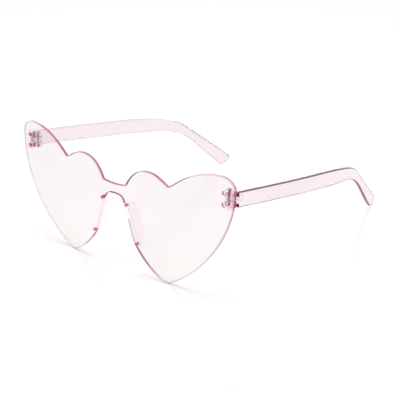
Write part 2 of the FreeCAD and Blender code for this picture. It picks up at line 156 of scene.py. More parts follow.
def bezier(poles: Sequence[Sequence[float]], spacing: float) -> np.ndarray:
    """Sample a Bezier curve of any degree.

    Args:
        poles: Control points, two numbers each.
        spacing: Largest step along the control polygon, mm.

    Returns:
        Points from the first pole to the last, one row each.
    """
    reach = np.linalg.norm(np.diff(np.array(poles, float), axis=0), axis=1).sum()
    steps = np.linspace(0.0, 1.0, max(CURVE_LEAST, math.ceil(reach / spacing)) + 1)[:, None]
    return blended([np.asarray(pole, float) + 0.0 * steps for pole in poles], steps)


def arc(centre: Point, radius: float, start: float, end: float, spacing: float) -> np.ndarray:
    """Sample a circular arc.

    Args:
        centre: Middle of the circle, mm.
        radius: Radius, mm.
        start: Angle of the first point, degrees.
        end: Angle of the last point, degrees.
        spacing: Largest step along the arc, mm.

    Returns:
        Points along the arc, one row each.
    """
    sweep = abs(math.radians(end - start)) * radius
    angles = np.radians(np.linspace(start, end, max(ARC_LEAST, math.ceil(sweep / spacing)) + 1))
    return np.column_stack((centre[0] + radius * np.cos(angles), centre[1] + radius * np.sin(angles)))


def circle(centre: Point, radius: float) -> np.ndarray:
    """A closed circle as an outline."""
    return closed([arc(centre, radius, 0.0, 360.0, radius * math.pi / HALF_CIRCLE)])


def closed(spans: Iterable[np.ndarray]) -> np.ndarray:
    """Join spans end to end into one closed outline.

    Args:
        spans: Runs of points, each starting where the last one ended.

    Returns:
        The outline, one row per point, without repeated points.
    """
    points = np.vstack(list(spans))
    apart = np.linalg.norm(points - np.roll(points, 1, axis=0), axis=1)
    return points[apart > SLIP]


def trimmed(span: np.ndarray, cut: float) -> np.ndarray:
    """Cut the first stretch off a span.

    Args:
        span: Points along the span, one row each.
        cut: Length of the stretch, mm.

    Returns:
        What is left of the span.
    """
    run = np.concatenate(([0.0], np.cumsum(np.linalg.norm(np.diff(span, axis=0), axis=1))))
    start = [np.interp(cut, run, values) for values in span.T]
    return np.vstack((start, span[run > cut + SLIP]))


def softened(before: np.ndarray, after: np.ndarray, cut: float) -> list[np.ndarray]:
    """Round the corner between two spans.

    Args:
        before: Span that ends in the corner.
        after: Span that starts in it.
        cut: Length taken off each of them, mm.

    Returns:
        The first span, the round and the second span.
    """
    head, tail = trimmed(before[::-1], cut)[::-1], trimmed(after, cut)
    return [head, bezier((head[-1], after[0], tail[0]), SOFT_STEP), tail]


def eased(outline: np.ndarray, cut: float) -> np.ndarray:
    """Round the sharp corners of a closed outline.

    Args:
        outline: The outline counter-clockwise, one row per point.
        cut: Length taken off both sides of a corner where they are long enough, mm.

    Returns:
        The outline with small rounds.
    """
    before, after = outline - np.roll(outline, 1, axis=0), np.roll(outline, -1, axis=0) - outline
    straight = np.sum(unit(before) * unit(after), axis=1)
    outer = before[:, 0] * after[:, 1] > before[:, 1] * after[:, 0]
    share = np.where(outer, OUTER_SHARE, INNER_SHARE)
    spans = []
    for point, last, ahead, bend, most in zip(outline, before, after, straight, share):
        if bend > SHARP:
            spans.append(point[None])
            continue
        head = point - last * min(most, cut / np.linalg.norm(last))
        tail = point + ahead * min(most, cut / np.linalg.norm(ahead))
        spans.append(bezier((head, point, tail), EASE_STEP))
    return closed(spans)


def wound(outline: np.ndarray, sense: int) -> np.ndarray:
    """Make an outline run one way round.

    Args:
        outline: Points round the outline, one row each.
        sense: 1 for counter-clockwise, -1 for clockwise.

    Returns:
        The outline, turned about where it ran the other way.
    """
    x, y = outline.T
    area = np.sum(x * np.roll(y, -1) - y * np.roll(x, -1))
    return outline if area * sense > 0 else outline[::-1]


def inside(points: np.ndarray, outlines: Iterable[np.ndarray]) -> np.ndarray:
    """Tell which points lie inside an outline and outside its holes.

    Args:
        points: Points to test, one row each.
        outlines: The outline and its holes.

    Returns:
        One truth value per point.
    """
    within = np.zeros(len(points), bool)
    px, py = points.T
    for outline in outlines:
        for (x0, y0), (x1, y1) in zip(outline, np.roll(outline, -1, axis=0)):
            if y0 == y1:
                continue
            spans = (y0 > py) != (y1 > py)
            within ^= spans & (px < (x1 - x0) * (py - y0) / (y1 - y0) + x0)
    return within


# Mesh building ----------------------------------------------------------------------------------


@dataclass(frozen=True)
class Stand:
    """Where the lens frame stands on the floor: a lean about X and a shift.

    Attributes:
        lean: Turn about X, radians.
        shift: Move after the turn, metres.
    """

    lean: float
    shift: Triple

    @classmethod
    def through(cls, joint: dict, hinge: np.ndarray) -> "Stand":
        """The stand that carries a hinge of the lens frame onto its joint.

        Args:
            joint: The joint's row in the record.
            hinge: The hinge's middle in the lens frame, mm.

        Returns:
            The stand.
        """
        lean = -math.asin(joint["axis"][1])
        turned = cls(lean, (0.0, 0.0, 0.0)).points(hinge[None, :], Side.LEFT)[0]
        return cls(lean, tuple(np.array(joint["pos_m"]) - turned))

    def directions(self, rows: np.ndarray, side: Side) -> np.ndarray:
        """Directions of the lens frame as they stand.

        Args:
            rows: Directions in the lens frame, one row each.
            side: Left as drawn, or right as the mirror image.

        Returns:
            The turned directions, one row each.
        """
        x, y, z = rows.T
        sin, cos = math.sin(self.lean), math.cos(self.lean)
        return np.column_stack((x * side.value, y * cos - z * sin, y * sin + z * cos))

    def points(self, rows: np.ndarray, side: Side) -> np.ndarray:
        """Points of the lens frame as they stand, on one side, in metres."""
        return self.directions(rows, side) * MM + np.array(self.shift)


class MeshDraft:
    """Points, normals and faces of one piece while it is drawn."""

    def __init__(self) -> None:
        """Start with nothing drawn."""
        self.points: list[np.ndarray] = []
        self.normals: list[np.ndarray] = []
        self.faces: list[tuple[int, ...]] = []
        self.zones: list[int] = []
        self.count = 0

    def row(self, points: np.ndarray, normals: np.ndarray) -> list[int]:
        """Add a row of points.

        Args:
            points: Places in the lens frame, mm.
            normals: Outward directions at those places.

        Returns:
            The numbers of the new points.
        """
        self.points.append(points)
        self.normals.append(normals)
        first = self.count
        self.count += len(points)
        return list(range(first, self.count))

    def face(self, corners: Sequence[int], zone: int) -> None:
        """Add one face."""
        self.faces.append(tuple(corners))
        self.zones.append(zone)

    def band(self, low: Sequence[int], high: Sequence[int], zones: Sequence[int]) -> None:
        """Join two closed rows of as many points by quads.

        Args:
            low: Numbers of the first row's points.
            high: Numbers of the second row's points.
            zones: Material index of each quad.
        """
        following = list(range(1, len(low))) + [0]
        for here, there in enumerate(following):
            self.face((low[here], low[there], high[there], high[here]), zones[here])

    def mesh(self, name: str, stand: Stand, side: Side) -> bpy.types.Mesh:
        """Make the mesh as it stands on one side.

        Args:
            name: The mesh's name.
            stand: Where the lens frame stands.
            side: Left as drawn, or right as its mirror image.

        Returns:
            The smooth shaded mesh.
        """
        points = stand.points(np.vstack(self.points), side)
        normals = unit(stand.directions(np.vstack(self.normals), side))
        agreement = 0.0
        for corners in self.faces:
            a, b, c = (points[number] for number in corners[:3])
            agreement += np.dot(np.cross(b - a, c - a), normals[list(corners)].sum(axis=0))
        faces = self.faces if agreement > 0 else [corners[::-1] for corners in self.faces]
        mesh = bpy.data.meshes.new(name)
        mesh.from_pydata(points.tolist(), [], faces)
        mesh.polygons.foreach_set("material_index", self.zones)
        mesh.polygons.foreach_set("use_smooth", [True] * len(faces))
        mesh.update()
        mesh.normals_split_custom_set_from_vertices(normals.tolist())
        return mesh


@dataclass
class Plate:
    """A plate of even thickness with a rounded rim, bent to follow a surface.

    Attributes:
        outline: Its closed outline in its own plane, mm.
        surface: Gives places from two outline coordinates and the depth, which is 0 half way in.
        thickness: Distance between its two faces, mm.
        rim_round: Radius of its rounded rim, mm.
        spacing: Distance between points inside the faces, mm.
        holes: Closed outlines of its holes, mm.
        zoning: Gives the zone numbers of a rim whose ends differ, from its outline, its outward
            directions and its own zone.
        steps: Facets across a quarter of the rim's round.
        split: Depth at which the rim's two zones meet, mm.
        hole_round: Radius of the rounded rims of the holes, mm.
    """

    outline: np.ndarray
    surface: Surface
    thickness: float
    rim_round: float
    spacing: float
    holes: Sequence[np.ndarray] = ()
    zoning: Zoning | None = None
    steps: int = ROUND_FACETS
    split: float = 0.0
    hole_round: float = 0.15

    def draw(self, draft: MeshDraft) -> None:
        """Draw the rim and the two faces.

        Args:
            draft: Draft to draw into.
        """
        loops = [wound(self.outline, 1)] + [wound(hole, -1) for hole in self.holes]
        inner_loops = []
        front: list[int] = []
        back: list[int] = []
        for loop in loops:
            edge = self._rounds(loop, loops)
            outward = outwards(loop)
            near = [self._row(draft, loop, outward, edge, -1, step) for step in range(self.steps, -1, -1)]
            middle = self._row(draft, loop, outward, edge, 0, 0)
            far = [self._row(draft, loop, outward, edge, 1, step) for step in range(self.steps + 1)]
            rows = [*near, middle, *far]
            for at, (low, high) in enumerate(zip(rows, rows[1:])):
                zone = Zone.RIM if at < len(near) else Zone.FAR_RIM
                draft.band(low, high, self._rim_zones(loop, outward, zone))
            inner_loops.append(loop - outward * edge[:, None])
            back += rows[0]
            front += rows[-1]
        self._fill(draft, inner_loops, front, back)

    def _rounds(self, loop: np.ndarray, loops: list[np.ndarray]) -> np.ndarray:
        """Radius of the round along a rim, which gives way where another rim is near.

        Args:
            loop: Outline of the plate or of a hole.
            loops: The plate's outline and all of its holes.

        Returns:
            One radius per point.
        """
        edge = np.full(len(loop), self.rim_round if loop is loops[0] else self.hole_round)
        for other in loops:
            if other is not loop:
                wall = np.linalg.norm(loop[:, None] - other[None], axis=2).min(axis=1)
                edge = np.minimum(edge, WALL_SHARE * wall)
        return edge

    def _rim_zones(self, loop: np.ndarray, outward: np.ndarray, zone: Zone) -> list[int]:
        """Material index along a rim: its own zone, or what the zoning says.

        Args:
            loop: Outline of the plate or of a hole.
            outward: Directions away from the material along it.
            zone: The rim's own zone.

        Returns:
            One material index per point.
        """
        if self.zoning is None:
            return [zone.value] * len(loop)
        return self.zoning(loop, outward, zone).tolist()

    def _axes(self, u: np.ndarray, v: np.ndarray,
              w: np.ndarray) -> tuple[np.ndarray, np.ndarray, np.ndarray]:
        """Directions of the bent plate at some points.

        Args:
            u: First outline coordinate.
            v: Second outline coordinate.
            w: Depth.

        Returns:
            The two outline directions, and the face's normal towards growing depth.
        """
        across = self.surface(u + PROBE, v, w) - self.surface(u - PROBE, v, w)
        along = self.surface(u, v + PROBE, w) - self.surface(u, v - PROBE, w)
        depth = self.surface(u, v, w + PROBE) - self.surface(u, v, w - PROBE)
        normal = unit(np.cross(across, along))
        normal *= np.sign(np.sum(normal * depth, axis=1, keepdims=True))
        return across, along, normal

    def _row(self, draft: MeshDraft, loop: np.ndarray, outward: np.ndarray, edge: np.ndarray, face: int,
             step: int) -> list[int]:
        """Draw one row of points round a rim.

        Args:
            draft: Draft to draw into.
            loop: Outline of the plate or of a hole.
            outward: Directions away from the material along it.
            edge: Radius of the round along it, mm.
            face: 1 towards the deeper face, -1 towards the other, 0 where the rim's zones meet.
            step: Facet of the round, 0 at the wall.

        Returns:
            The numbers of the points.
        """
        angle = 0.5 * math.pi * step / self.steps
        u, v = (loop - outward * edge[:, None] * (1.0 - math.cos(angle))).T
        if face:
            w = face * (self.thickness / 2 - edge * (1.0 - math.sin(angle)))
        else:
            w = np.full(len(loop), self.split)
        across, along, normal = self._axes(u, v, w)
        out = unit(across * outward[:, :1] + along * outward[:, 1:])
        normals = out * math.cos(angle) + normal * face * math.sin(angle)
        return draft.row(self.surface(u, v, w), normals)

    def _fill(self, draft: MeshDraft, loops: list[np.ndarray], front: list[int], back: list[int]) -> None:
        """Fill the two faces inside the rims.

        Args:
            draft: Draft to draw into.
            loops: Edges of the faces in outline coordinates.
            front: Numbers of the rim points on the deeper face.
            back: Numbers of the rim points on the other face.
        """
        rim = np.vstack(loops)
        low, high = rim.min(axis=0), rim.max(axis=0)
        columns = np.arange(low[0] + self.spacing / 2, high[0], self.spacing)
        rows = np.arange(low[1] + self.spacing / 2, high[1], self.spacing)
        grid = np.stack(np.meshgrid(columns, rows), axis=-1).reshape(-1, 2)
        grid = grid[inside(grid, loops)]
        gaps = np.linalg.norm(grid[:, None, :] - rim[None, :, :], axis=2).min(axis=1)
        grid = grid[gaps > FILL_GAP * self.spacing]
        u, v = grid.T
        for face, numbers in ((1, front), (-1, back)):
            w = np.full(len(grid), face * self.thickness / 2)
            numbers += draft.row(self.surface(u, v, w), self._axes(u, v, w)[2] * face)
        flat = np.vstack((rim, grid))
        edges = []
        first = 0
        for loop in loops:
            edges += [(first + at, first + (at + 1) % len(loop)) for at in range(len(loop))]
            first += len(loop)
        corners = [Vector(point) for point in flat]
        _, _, made, origins, *_ = delaunay_2d_cdt(corners, edges, [], INSIDE_EDGES, WELD)
        triangles = np.array([[origins[corner][0] for corner in triangle] for triangle in made])
        for a, b, c in triangles[~inside(flat[triangles].mean(axis=1), loops[1:])]:
            draft.face((front[a], front[b], front[c]), Zone.FACE.value)
            draft.face((back[c], back[b], back[a]), Zone.FACE.value)


@dataclass
class Turning:
    """A turned piece: a profile swept round an axis.

    Attributes:
        profile: Radius and height pairs along the axis, mm; a radius of 0 is a pole.
        foot: Where height 0 is on the axis, mm.
        axis: Direction of growing height.
        zone: Finish of the whole piece.
        ring: Whether the profile closes on itself, as that of a ring does.
        segments: Facets round the axis.
    """

    profile: np.ndarray
    foot: Triple
    axis: Triple
    zone: Zone = Zone.FACE
    ring: bool = False
    segments: int = 40

    def draw(self, draft: MeshDraft) -> None:
        """Draw the swept profile.

        Args:
            draft: Draft to draw into.
        """
        axis = Vector(self.axis).normalized()
        first = axis.orthogonal().normalized()
        second = axis.cross(first)
        angles = np.linspace(0.0, 2.0 * math.pi, self.segments, endpoint=False)
        spokes = np.outer(np.cos(angles), first) + np.outer(np.sin(angles), second)
        slopes = outwards(self.profile) if self.ring else sideways(np.gradient(self.profile, axis=0))
        along = np.array(axis)
        rows = []
        for (radius, height), (out, up) in zip(self.profile, slopes):
            middle = np.array(self.foot) + along * height
            if radius < SLIP:
                rows.append(draft.row(middle[None, :], along[None, :] * math.copysign(1.0, up)))
            else:
                rows.append(draft.row(middle + spokes * radius, spokes * out + along * up))
        pairs = list(zip(rows, rows[1:])) + ([(rows[-1], rows[0])] if self.ring else [])
        for low, high in pairs:
            self._join(draft, low, high)

    def _join(self, draft: MeshDraft, low: list[int], high: list[int]) -> None:
        """Join two rows, of which one may be a pole.

        Args:
            draft: Draft to draw into.
            low: Numbers of the lower row's points.
            high: Numbers of the upper row's points.
        """
        if len(low) > 1 and len(high) > 1:
            draft.band(low, high, [self.zone.value] * self.segments)
            return
        for here in range(self.segments):
            there = (here + 1) % self.segments
            if len(low) == 1:
                draft.face((low[0], high[there], high[here]), self.zone.value)
            else:
                draft.face((low[here], low[there], high[0]), self.zone.value)


def rounded_rod(radius: float, length: float, edge: float) -> np.ndarray:
    """Profile of a rod with a rounded rim on each end.

    Args:
        radius: Radius of the rod, mm.
        length: Its length, mm.
        edge: Radius of the round on its ends, mm.

    Returns:
        Radius and height pairs from one pole to the other.
    """
    turns = np.linspace(0.0, 0.5 * math.pi, ROUND_FACETS + 1)
    low = [(radius - edge + edge * math.sin(turn), edge - edge * math.cos(turn)) for turn in turns]
    high = [(width, length - height) for width, height in reversed(low)]
    inner = radius - 2 * edge
    return np.array([(0.0, 0.0), (inner, 0.0), *low, (radius, 2 * edge), (radius, length - 2 * edge), *high,
                     (inner, length), (0.0, length)])


# Finishes ---------------------------------------------------------------------------------------


class NodeDesk:
    """Writes a node tree node by node."""

    MIX_FIRST, MIX_SECOND, MIX_RESULT = 6, 7, 2  # the colour sockets of a mix node

    def __init__(self, tree: bpy.types.NodeTree) -> None:
        """Work on one tree."""
        self.tree = tree

    def feed(self, node: bpy.types.Node, inputs: dict) -> None:
        """Set inputs of a node.

        Args:
            node: The node.
            inputs: Values or output sockets by input name or number.
        """
        for name, value in inputs.items():
            if isinstance(value, bpy.types.NodeSocket):
                self.tree.links.new(value, node.inputs[name])
            else:
                node.inputs[name].default_value = value

    def add(self, kind: str, inputs: dict | None = None, **settings: object) -> bpy.types.Node:
        """Add a node.

        Args:
            kind: The node's type.
            inputs: Values or output sockets by input name or number.
            **settings: Properties of the node.

        Returns:
            The new node.
        """
        node = self.tree.nodes.new(kind)
        for name, setting in settings.items():
            setattr(node, name, setting)
        self.feed(node, inputs or {})
        return node

    def maths(self, operation: str, first: object, second: object) -> bpy.types.NodeSocket:
        """Result of a sum on two values or sockets."""
        return self.add("ShaderNodeMath", {0: first, 1: second}, operation=operation).outputs[0]

    def spread(self, value: bpy.types.NodeSocket, low: float, high: float) -> bpy.types.NodeSocket:
        """A value from low to high stretched to the whole range from 0 to 1."""
        return self.add("ShaderNodeMapRange", {"Value": value, "From Min": low, "From Max": high}).outputs[0]

    def blend(self, amount: object, first: object, second: object) -> bpy.types.NodeSocket:
        """Blend two colours.

        Args:
            amount: Share of the second colour, as a value or a socket.
            first: First colour or its socket.
            second: Second colour or its socket.

        Returns:
            The blended colour.
        """
        pair = ((self.MIX_FIRST, first), (self.MIX_SECOND, second))
        colours = {at: (*tone, 1.0) if isinstance(tone, tuple) else tone for at, tone in pair}
        return self.add("ShaderNodeMix", {0: amount, **colours}, data_type="RGBA").outputs[self.MIX_RESULT]


def new_material(name: str) -> tuple[bpy.types.Material, NodeDesk, bpy.types.Node]:
    """Start a material.

    Args:
        name: The material's name.

    Returns:
        The material, a desk on its tree, and its shader.
    """
    material = bpy.data.materials.new(name)
    material.use_nodes = True
    return material, NodeDesk(material.node_tree), material.node_tree.nodes["Principled BSDF"]


@dataclass
class SharedEffects:
    """Surface effects that several finishes share, each a node group that is built once.

    Attributes:
        clouds: Noise between which the dye goes from thin to thick.
        line_scale: How much finer the flow lines are than the clouds.
        line_height: Height of the flow lines beside that of the clouds.
        smear_scale: Finger smears, as repeats per metre.
        smears: Noise between which a smear goes from faint to full.
        hair_turn: Lie of the hairline scratches, radians.
        hair_scale: Scratches along each axis, as repeats per metre.
        hairs: Noise between which a scratch goes from faint to full.
        hair_share: Strength of a scratch beside that of a smear.
        turn: Cosines between which a wall turns towards its axis.
    """

    clouds: Pair = (0.3, 0.7)
    line_scale: float = 3.5
    line_height: float = 0.35
    smear_scale: float = 70.0
    smears: Pair = (0.45, 0.75)
    hair_turn: Triple = (0.3, 0.5, 0.7)
    hair_scale: Triple = (260.0, 2600.0, 900.0)
    hairs: Pair = (0.62, 0.8)
    hair_share: float = 0.6
    # turn: Cosines between which a wall turns towards its axis, over which the painted edge shading changes.
    turn: Pair = (-0.35, 0.8)

    def __post_init__(self) -> None:
        """Build the groups."""
        self.dye_drift = self._dye_drift()
        self.handling_wear = self._handling_wear()
        self.wall_facing = self._edge_shading_facing()
        self.dye_pool = self._deep_edge_spot()

    @staticmethod
    def _group(name: str, inputs: dict[str, str], outputs: Sequence[str]) -> tuple[NodeDesk, bpy.types.Node]:
        """Start a group.

        Args:
            name: The group's name.
            inputs: Its inputs as name and socket type.
            outputs: Names of its value outputs.

        Returns:
            A desk on the group's tree, and its input node.
        """
        tree = bpy.data.node_groups.new(name, "ShaderNodeTree")
        for socket, kind in inputs.items():
            tree.interface.new_socket(name=socket, in_out="INPUT", socket_type=kind)
        for socket in outputs:
            tree.interface.new_socket(name=socket, in_out="OUTPUT", socket_type="NodeSocketFloat")
        desk = NodeDesk(tree)
        return desk, desk.add("NodeGroupInput")

    def _dye_drift(self) -> bpy.types.NodeTree:
        """Soft clouds and flow lines that the dye leaves in moulded plastic.

        Returns:
            The group.
        """
        sizes = {"Scale": "NodeSocketFloat", "Stretch": "NodeSocketVector"}
        desk, given = self._group("dye_drift", sizes, ("Drift", "Height"))
        place = desk.add("ShaderNodeTexCoord")
        run = desk.add("ShaderNodeVectorMath", {0: place.outputs["Object"], 1: given.outputs["Stretch"]},
                       operation="MULTIPLY")
        clouds = desk.add("ShaderNodeTexNoise", {"Vector": run.outputs[0], "Scale": given.outputs["Scale"],
                                                 "Detail": 3.0, "Roughness": 0.55})
        finer = desk.maths("MULTIPLY", given.outputs["Scale"], self.line_scale)
        lines = desk.add("ShaderNodeTexNoise", {"Vector": run.outputs[0], "Scale": finer, "Detail": 2.0})
        drift = desk.spread(clouds.outputs[0], *self.clouds)
        height = desk.maths("ADD", drift, desk.maths("MULTIPLY", lines.outputs[0], self.line_height))
        desk.add("NodeGroupOutput", {"Drift": drift, "Height": height})
        return desk.tree

    def _handling_wear(self) -> bpy.types.NodeTree:
        """Finger smears and hairline scratches as roughness.

        Returns:
            The group.
        """
        sizes = {"Polish": "NodeSocketFloat", "Wear": "NodeSocketFloat"}
        desk, given = self._group("handling_wear", sizes, ("Roughness",))
        place = desk.add("ShaderNodeTexCoord").outputs["Object"]
        smears = desk.add("ShaderNodeTexNoise", {"Vector": place, "Scale": self.smear_scale, "Detail": 2.0})
        run = desk.add("ShaderNodeMapping", {"Vector": place, "Rotation": self.hair_turn,
                                             "Scale": self.hair_scale})
        hairs = desk.add("ShaderNodeTexNoise", {"Vector": run.outputs[0], "Scale": 1.0, "Detail": 1.0})
        scratches = desk.maths("MULTIPLY", desk.spread(hairs.outputs[0], *self.hairs), self.hair_share)
        marks = desk.maths("ADD", desk.spread(smears.outputs[0], *self.smears), scratches)
        worn = desk.maths("MULTIPLY", marks, given.outputs["Wear"])
        desk.add("NodeGroupOutput", {"Roughness": desk.maths("ADD", given.outputs["Polish"], worn)})
        return desk.tree

    def _edge_shading_facing(self) -> bpy.types.NodeTree:
        """How far a wall faces an axis of the piece, from 0 on the far side to 1; masks painted edge shading.

        Returns:
            The group.
        """
        desk, given = self._group("wall_facing", {"Axis": "NodeSocketVector"}, ("Facing",))
        place = desk.add("ShaderNodeTexCoord")
        turned = desk.add("ShaderNodeVectorMath", {0: place.outputs["Normal"], 1: given.outputs["Axis"]},
                          operation="DOT_PRODUCT")
        desk.add("NodeGroupOutput", {"Facing": desk.spread(turned.outputs["Value"], *self.turn)})
        return desk.tree

    def _deep_edge_spot(self) -> bpy.types.NodeTree:
        """How near a point is to a spot round which the edges take a deeper colour, the same on both sides of
        the glasses.

        Returns:
            The group.
        """
        sizes = {"Centre": "NodeSocketVector", "Near": "NodeSocketFloat", "Far": "NodeSocketFloat"}
        desk, given = self._group("dye_pool", sizes, ("Depth",))
        place = desk.add("ShaderNodeTexCoord")
        parts = desk.add("ShaderNodeSeparateXYZ", {0: place.outputs["Object"]})
        across = desk.add("ShaderNodeMath", {0: parts.outputs["X"]}, operation="ABSOLUTE")
        point = desk.add("ShaderNodeCombineXYZ", {"X": across.outputs[0], "Y": parts.outputs["Y"],
                                                  "Z": parts.outputs["Z"]})
        gap = desk.add("ShaderNodeVectorMath", {0: point.outputs[0], 1: given.outputs["Centre"]},
                       operation="DISTANCE")
        reach = {"From Min": given.outputs["Far"], "From Max": given.outputs["Near"]}
        depth = desk.add("ShaderNodeMapRange", {"Value": gap.outputs["Value"], **reach},
                         interpolation_type="SMOOTHSTEP")
        desk.add("NodeGroupOutput", {"Depth": depth.outputs[0]})
        return desk.tree


@dataclass(frozen=True)
class Finish(ABC):
    """A finish with drifts of tone, worn by handling.

    Attributes:
        name: The finish's name.
        pale: Colour where the dye is thin, or of a bright crest.
        deep: Colour where the dye is thick, or of a dull groove.
        polish: Roughness where it is untouched.
        wear: Roughness that handling adds.
        scale: Size of the drifts, as repeats per metre.
        stretch: Stretch of the drifts along each axis.
        ripple: Height of the flow lines, mm.
    """

    name: str
    pale: Colour
    deep: Colour
    polish: float = 0.02
    wear: float = 0.03
    scale: float = 40.0
    stretch: Triple = (1.0, 1.0, 1.0)
    ripple: float = 0.002

    def colour(self, desk: NodeDesk, effects: SharedEffects,
               drift: bpy.types.NodeSocket) -> bpy.types.NodeSocket:
        """Colour of the surface from its drifts."""
        return desk.blend(drift, self.pale, self.deep)

    @abstractmethod
    def body(self, desk: NodeDesk, shader: bpy.types.Node) -> None:
        """Set up what lies under the surface."""

    def make(self, effects: SharedEffects) -> bpy.types.Material:
        """Make the material.

        Args:
            effects: The shared node groups.

        Returns:
            The finished material.
        """
        material, desk, shader = new_material(self.name)
        drift = desk.add("ShaderNodeGroup", {"Scale": self.scale, "Stretch": self.stretch},
                         node_tree=effects.dye_drift)
        wear = desk.add("ShaderNodeGroup", {"Polish": self.polish, "Wear": self.wear},
                        node_tree=effects.handling_wear)
        bump = desk.add("ShaderNodeBump", {"Height": drift.outputs["Height"], "Distance": self.ripple * MM})
        desk.feed(shader, {"Base Color": self.colour(desk, effects, drift.outputs["Drift"]),
                           "Roughness": wear.outputs["Roughness"], "Normal": bump.outputs["Normal"]})
        self.body(desk, shader)
        return material


@dataclass(frozen=True)
class DyedPlastic(Finish):
    """Dyed clear plastic, polished.

    Attributes:
        clear: How much light passes, from 0 to 1.
        bending: Refraction index of the body, low in thin pieces, through which light passes nearly
            straight.
        gloss: Weight of the polished skin that reflects.
        shade: Light that passes on to the floor.
    """

    clear: float = 1.0
    bending: float = 1.49
    gloss: float = 0.0
    shade: Colour = (0.965, 0.93, 0.935)

    def body(self, desk: NodeDesk, shader: bpy.types.Node) -> None:
        """Let light through the plastic, and on to the floor.

        Args:
            desk: Desk on the material's tree.
            shader: The material's shader.
        """
        desk.feed(shader, {"Transmission Weight": self.clear, "IOR": self.bending, "Coat Weight": self.gloss})
        passed = desk.add("ShaderNodeBsdfTransparent", {"Color": (*self.shade, 1.0)})
        path = desk.add("ShaderNodeLightPath")
        surface = desk.add("ShaderNodeMixShader", {0: path.outputs["Is Shadow Ray"], 1: shader.outputs[0],
                                                   2: passed.outputs[0]})
        desk.feed(desk.tree.nodes["Material Output"], {"Surface": surface.outputs[0]})


@dataclass(frozen=True)
class CutEdge(DyedPlastic):
    """The cut edge of dyed plastic, which gathers the colour of the whole depth behind it, with painted light
    and shade for the way it faces and the side it is seen from.

    Attributes:
        far: Painted light and shade of walls that face away from the axis.
        within: Colour of the wall as it is seen from inside the plastic: a painted reflection where pale,
            painted shade where dark.
        painted_inside_at_spot: That painted inside colour near the deep spot.
        deep_spot: Where the edges deepen on the left side: a point, and the reach of its middle and of its
            end,
        metres.
        axis: Direction that the deepest coloured walls face, about which the painted edge shading is laid.
        drift_share: Share of the drifts in the depth of the dye.
        spot_share: Share of the deep spot in it.
    """

    far: Colour = (0.5, 0.3, 0.36)
    within: Colour = (0.9, 0.75, 0.8)
    painted_inside_at_spot: Colour = (0.9, 0.75, 0.8)
    deep_spot: tuple[Triple, float, float] = ((0.0, -0.075, 0.045), 0.04, 0.062)
    axis: Triple = (0.0, 0.0, 1.0)
    drift_share: float = 0.35
    spot_share: float = 0.65

    def colour(self, desk: NodeDesk, effects: SharedEffects,
               drift: bpy.types.NodeSocket) -> bpy.types.NodeSocket:
        """Colour of the edge from its drifts, with painted shading for how it faces and the side it is seen
        from.

        Args:
            desk: Desk on the material's tree.
            effects: The shared node groups.
            drift: Drift of the dye.

        Returns:
            The colour socket.
        """
        facing = desk.add("ShaderNodeGroup", {"Axis": self.axis}, node_tree=effects.wall_facing)
        sizes = dict(zip(("Centre", "Near", "Far"), self.deep_spot))
        depth = desk.add("ShaderNodeGroup", sizes, node_tree=effects.dye_pool).outputs["Depth"]
        dye = desk.maths("ADD", desk.maths("MULTIPLY", drift, self.drift_share),
                         desk.maths("MULTIPLY", depth, self.spot_share))
        dyed = desk.blend(dye, self.pale, self.deep)
        # Walls turned away from the axis take the painted light and shade of the far colour.
        strength = desk.maths("MAXIMUM", facing.outputs["Facing"], depth)
        outside = desk.blend(strength, self.far, dyed)
        # Seen from inside, the edge takes its painted inside colour: pale as a painted reflection, dark as
        # painted shade.
        inner = desk.blend(depth, self.within, self.painted_inside_at_spot)
        side = desk.add("ShaderNodeNewGeometry")
        return desk.blend(side.outputs["Backfacing"], outside, inner)


@dataclass(frozen=True)
class TurnedSteel(Finish):
    """Turned steel with bright crests and a film of oil in its fine, dull grooves."""

    polish: float = 0.25
    wear: float = 0.2
    scale: float = 500.0
    stretch: Triple = (0.3, 0.3, 6.0)
    ripple: float = 0.01

    def body(self, desk: NodeDesk, shader: bpy.types.Node) -> None:
        """Make the shader a metal."""
        desk.feed(shader, {"Metallic": 1.0})


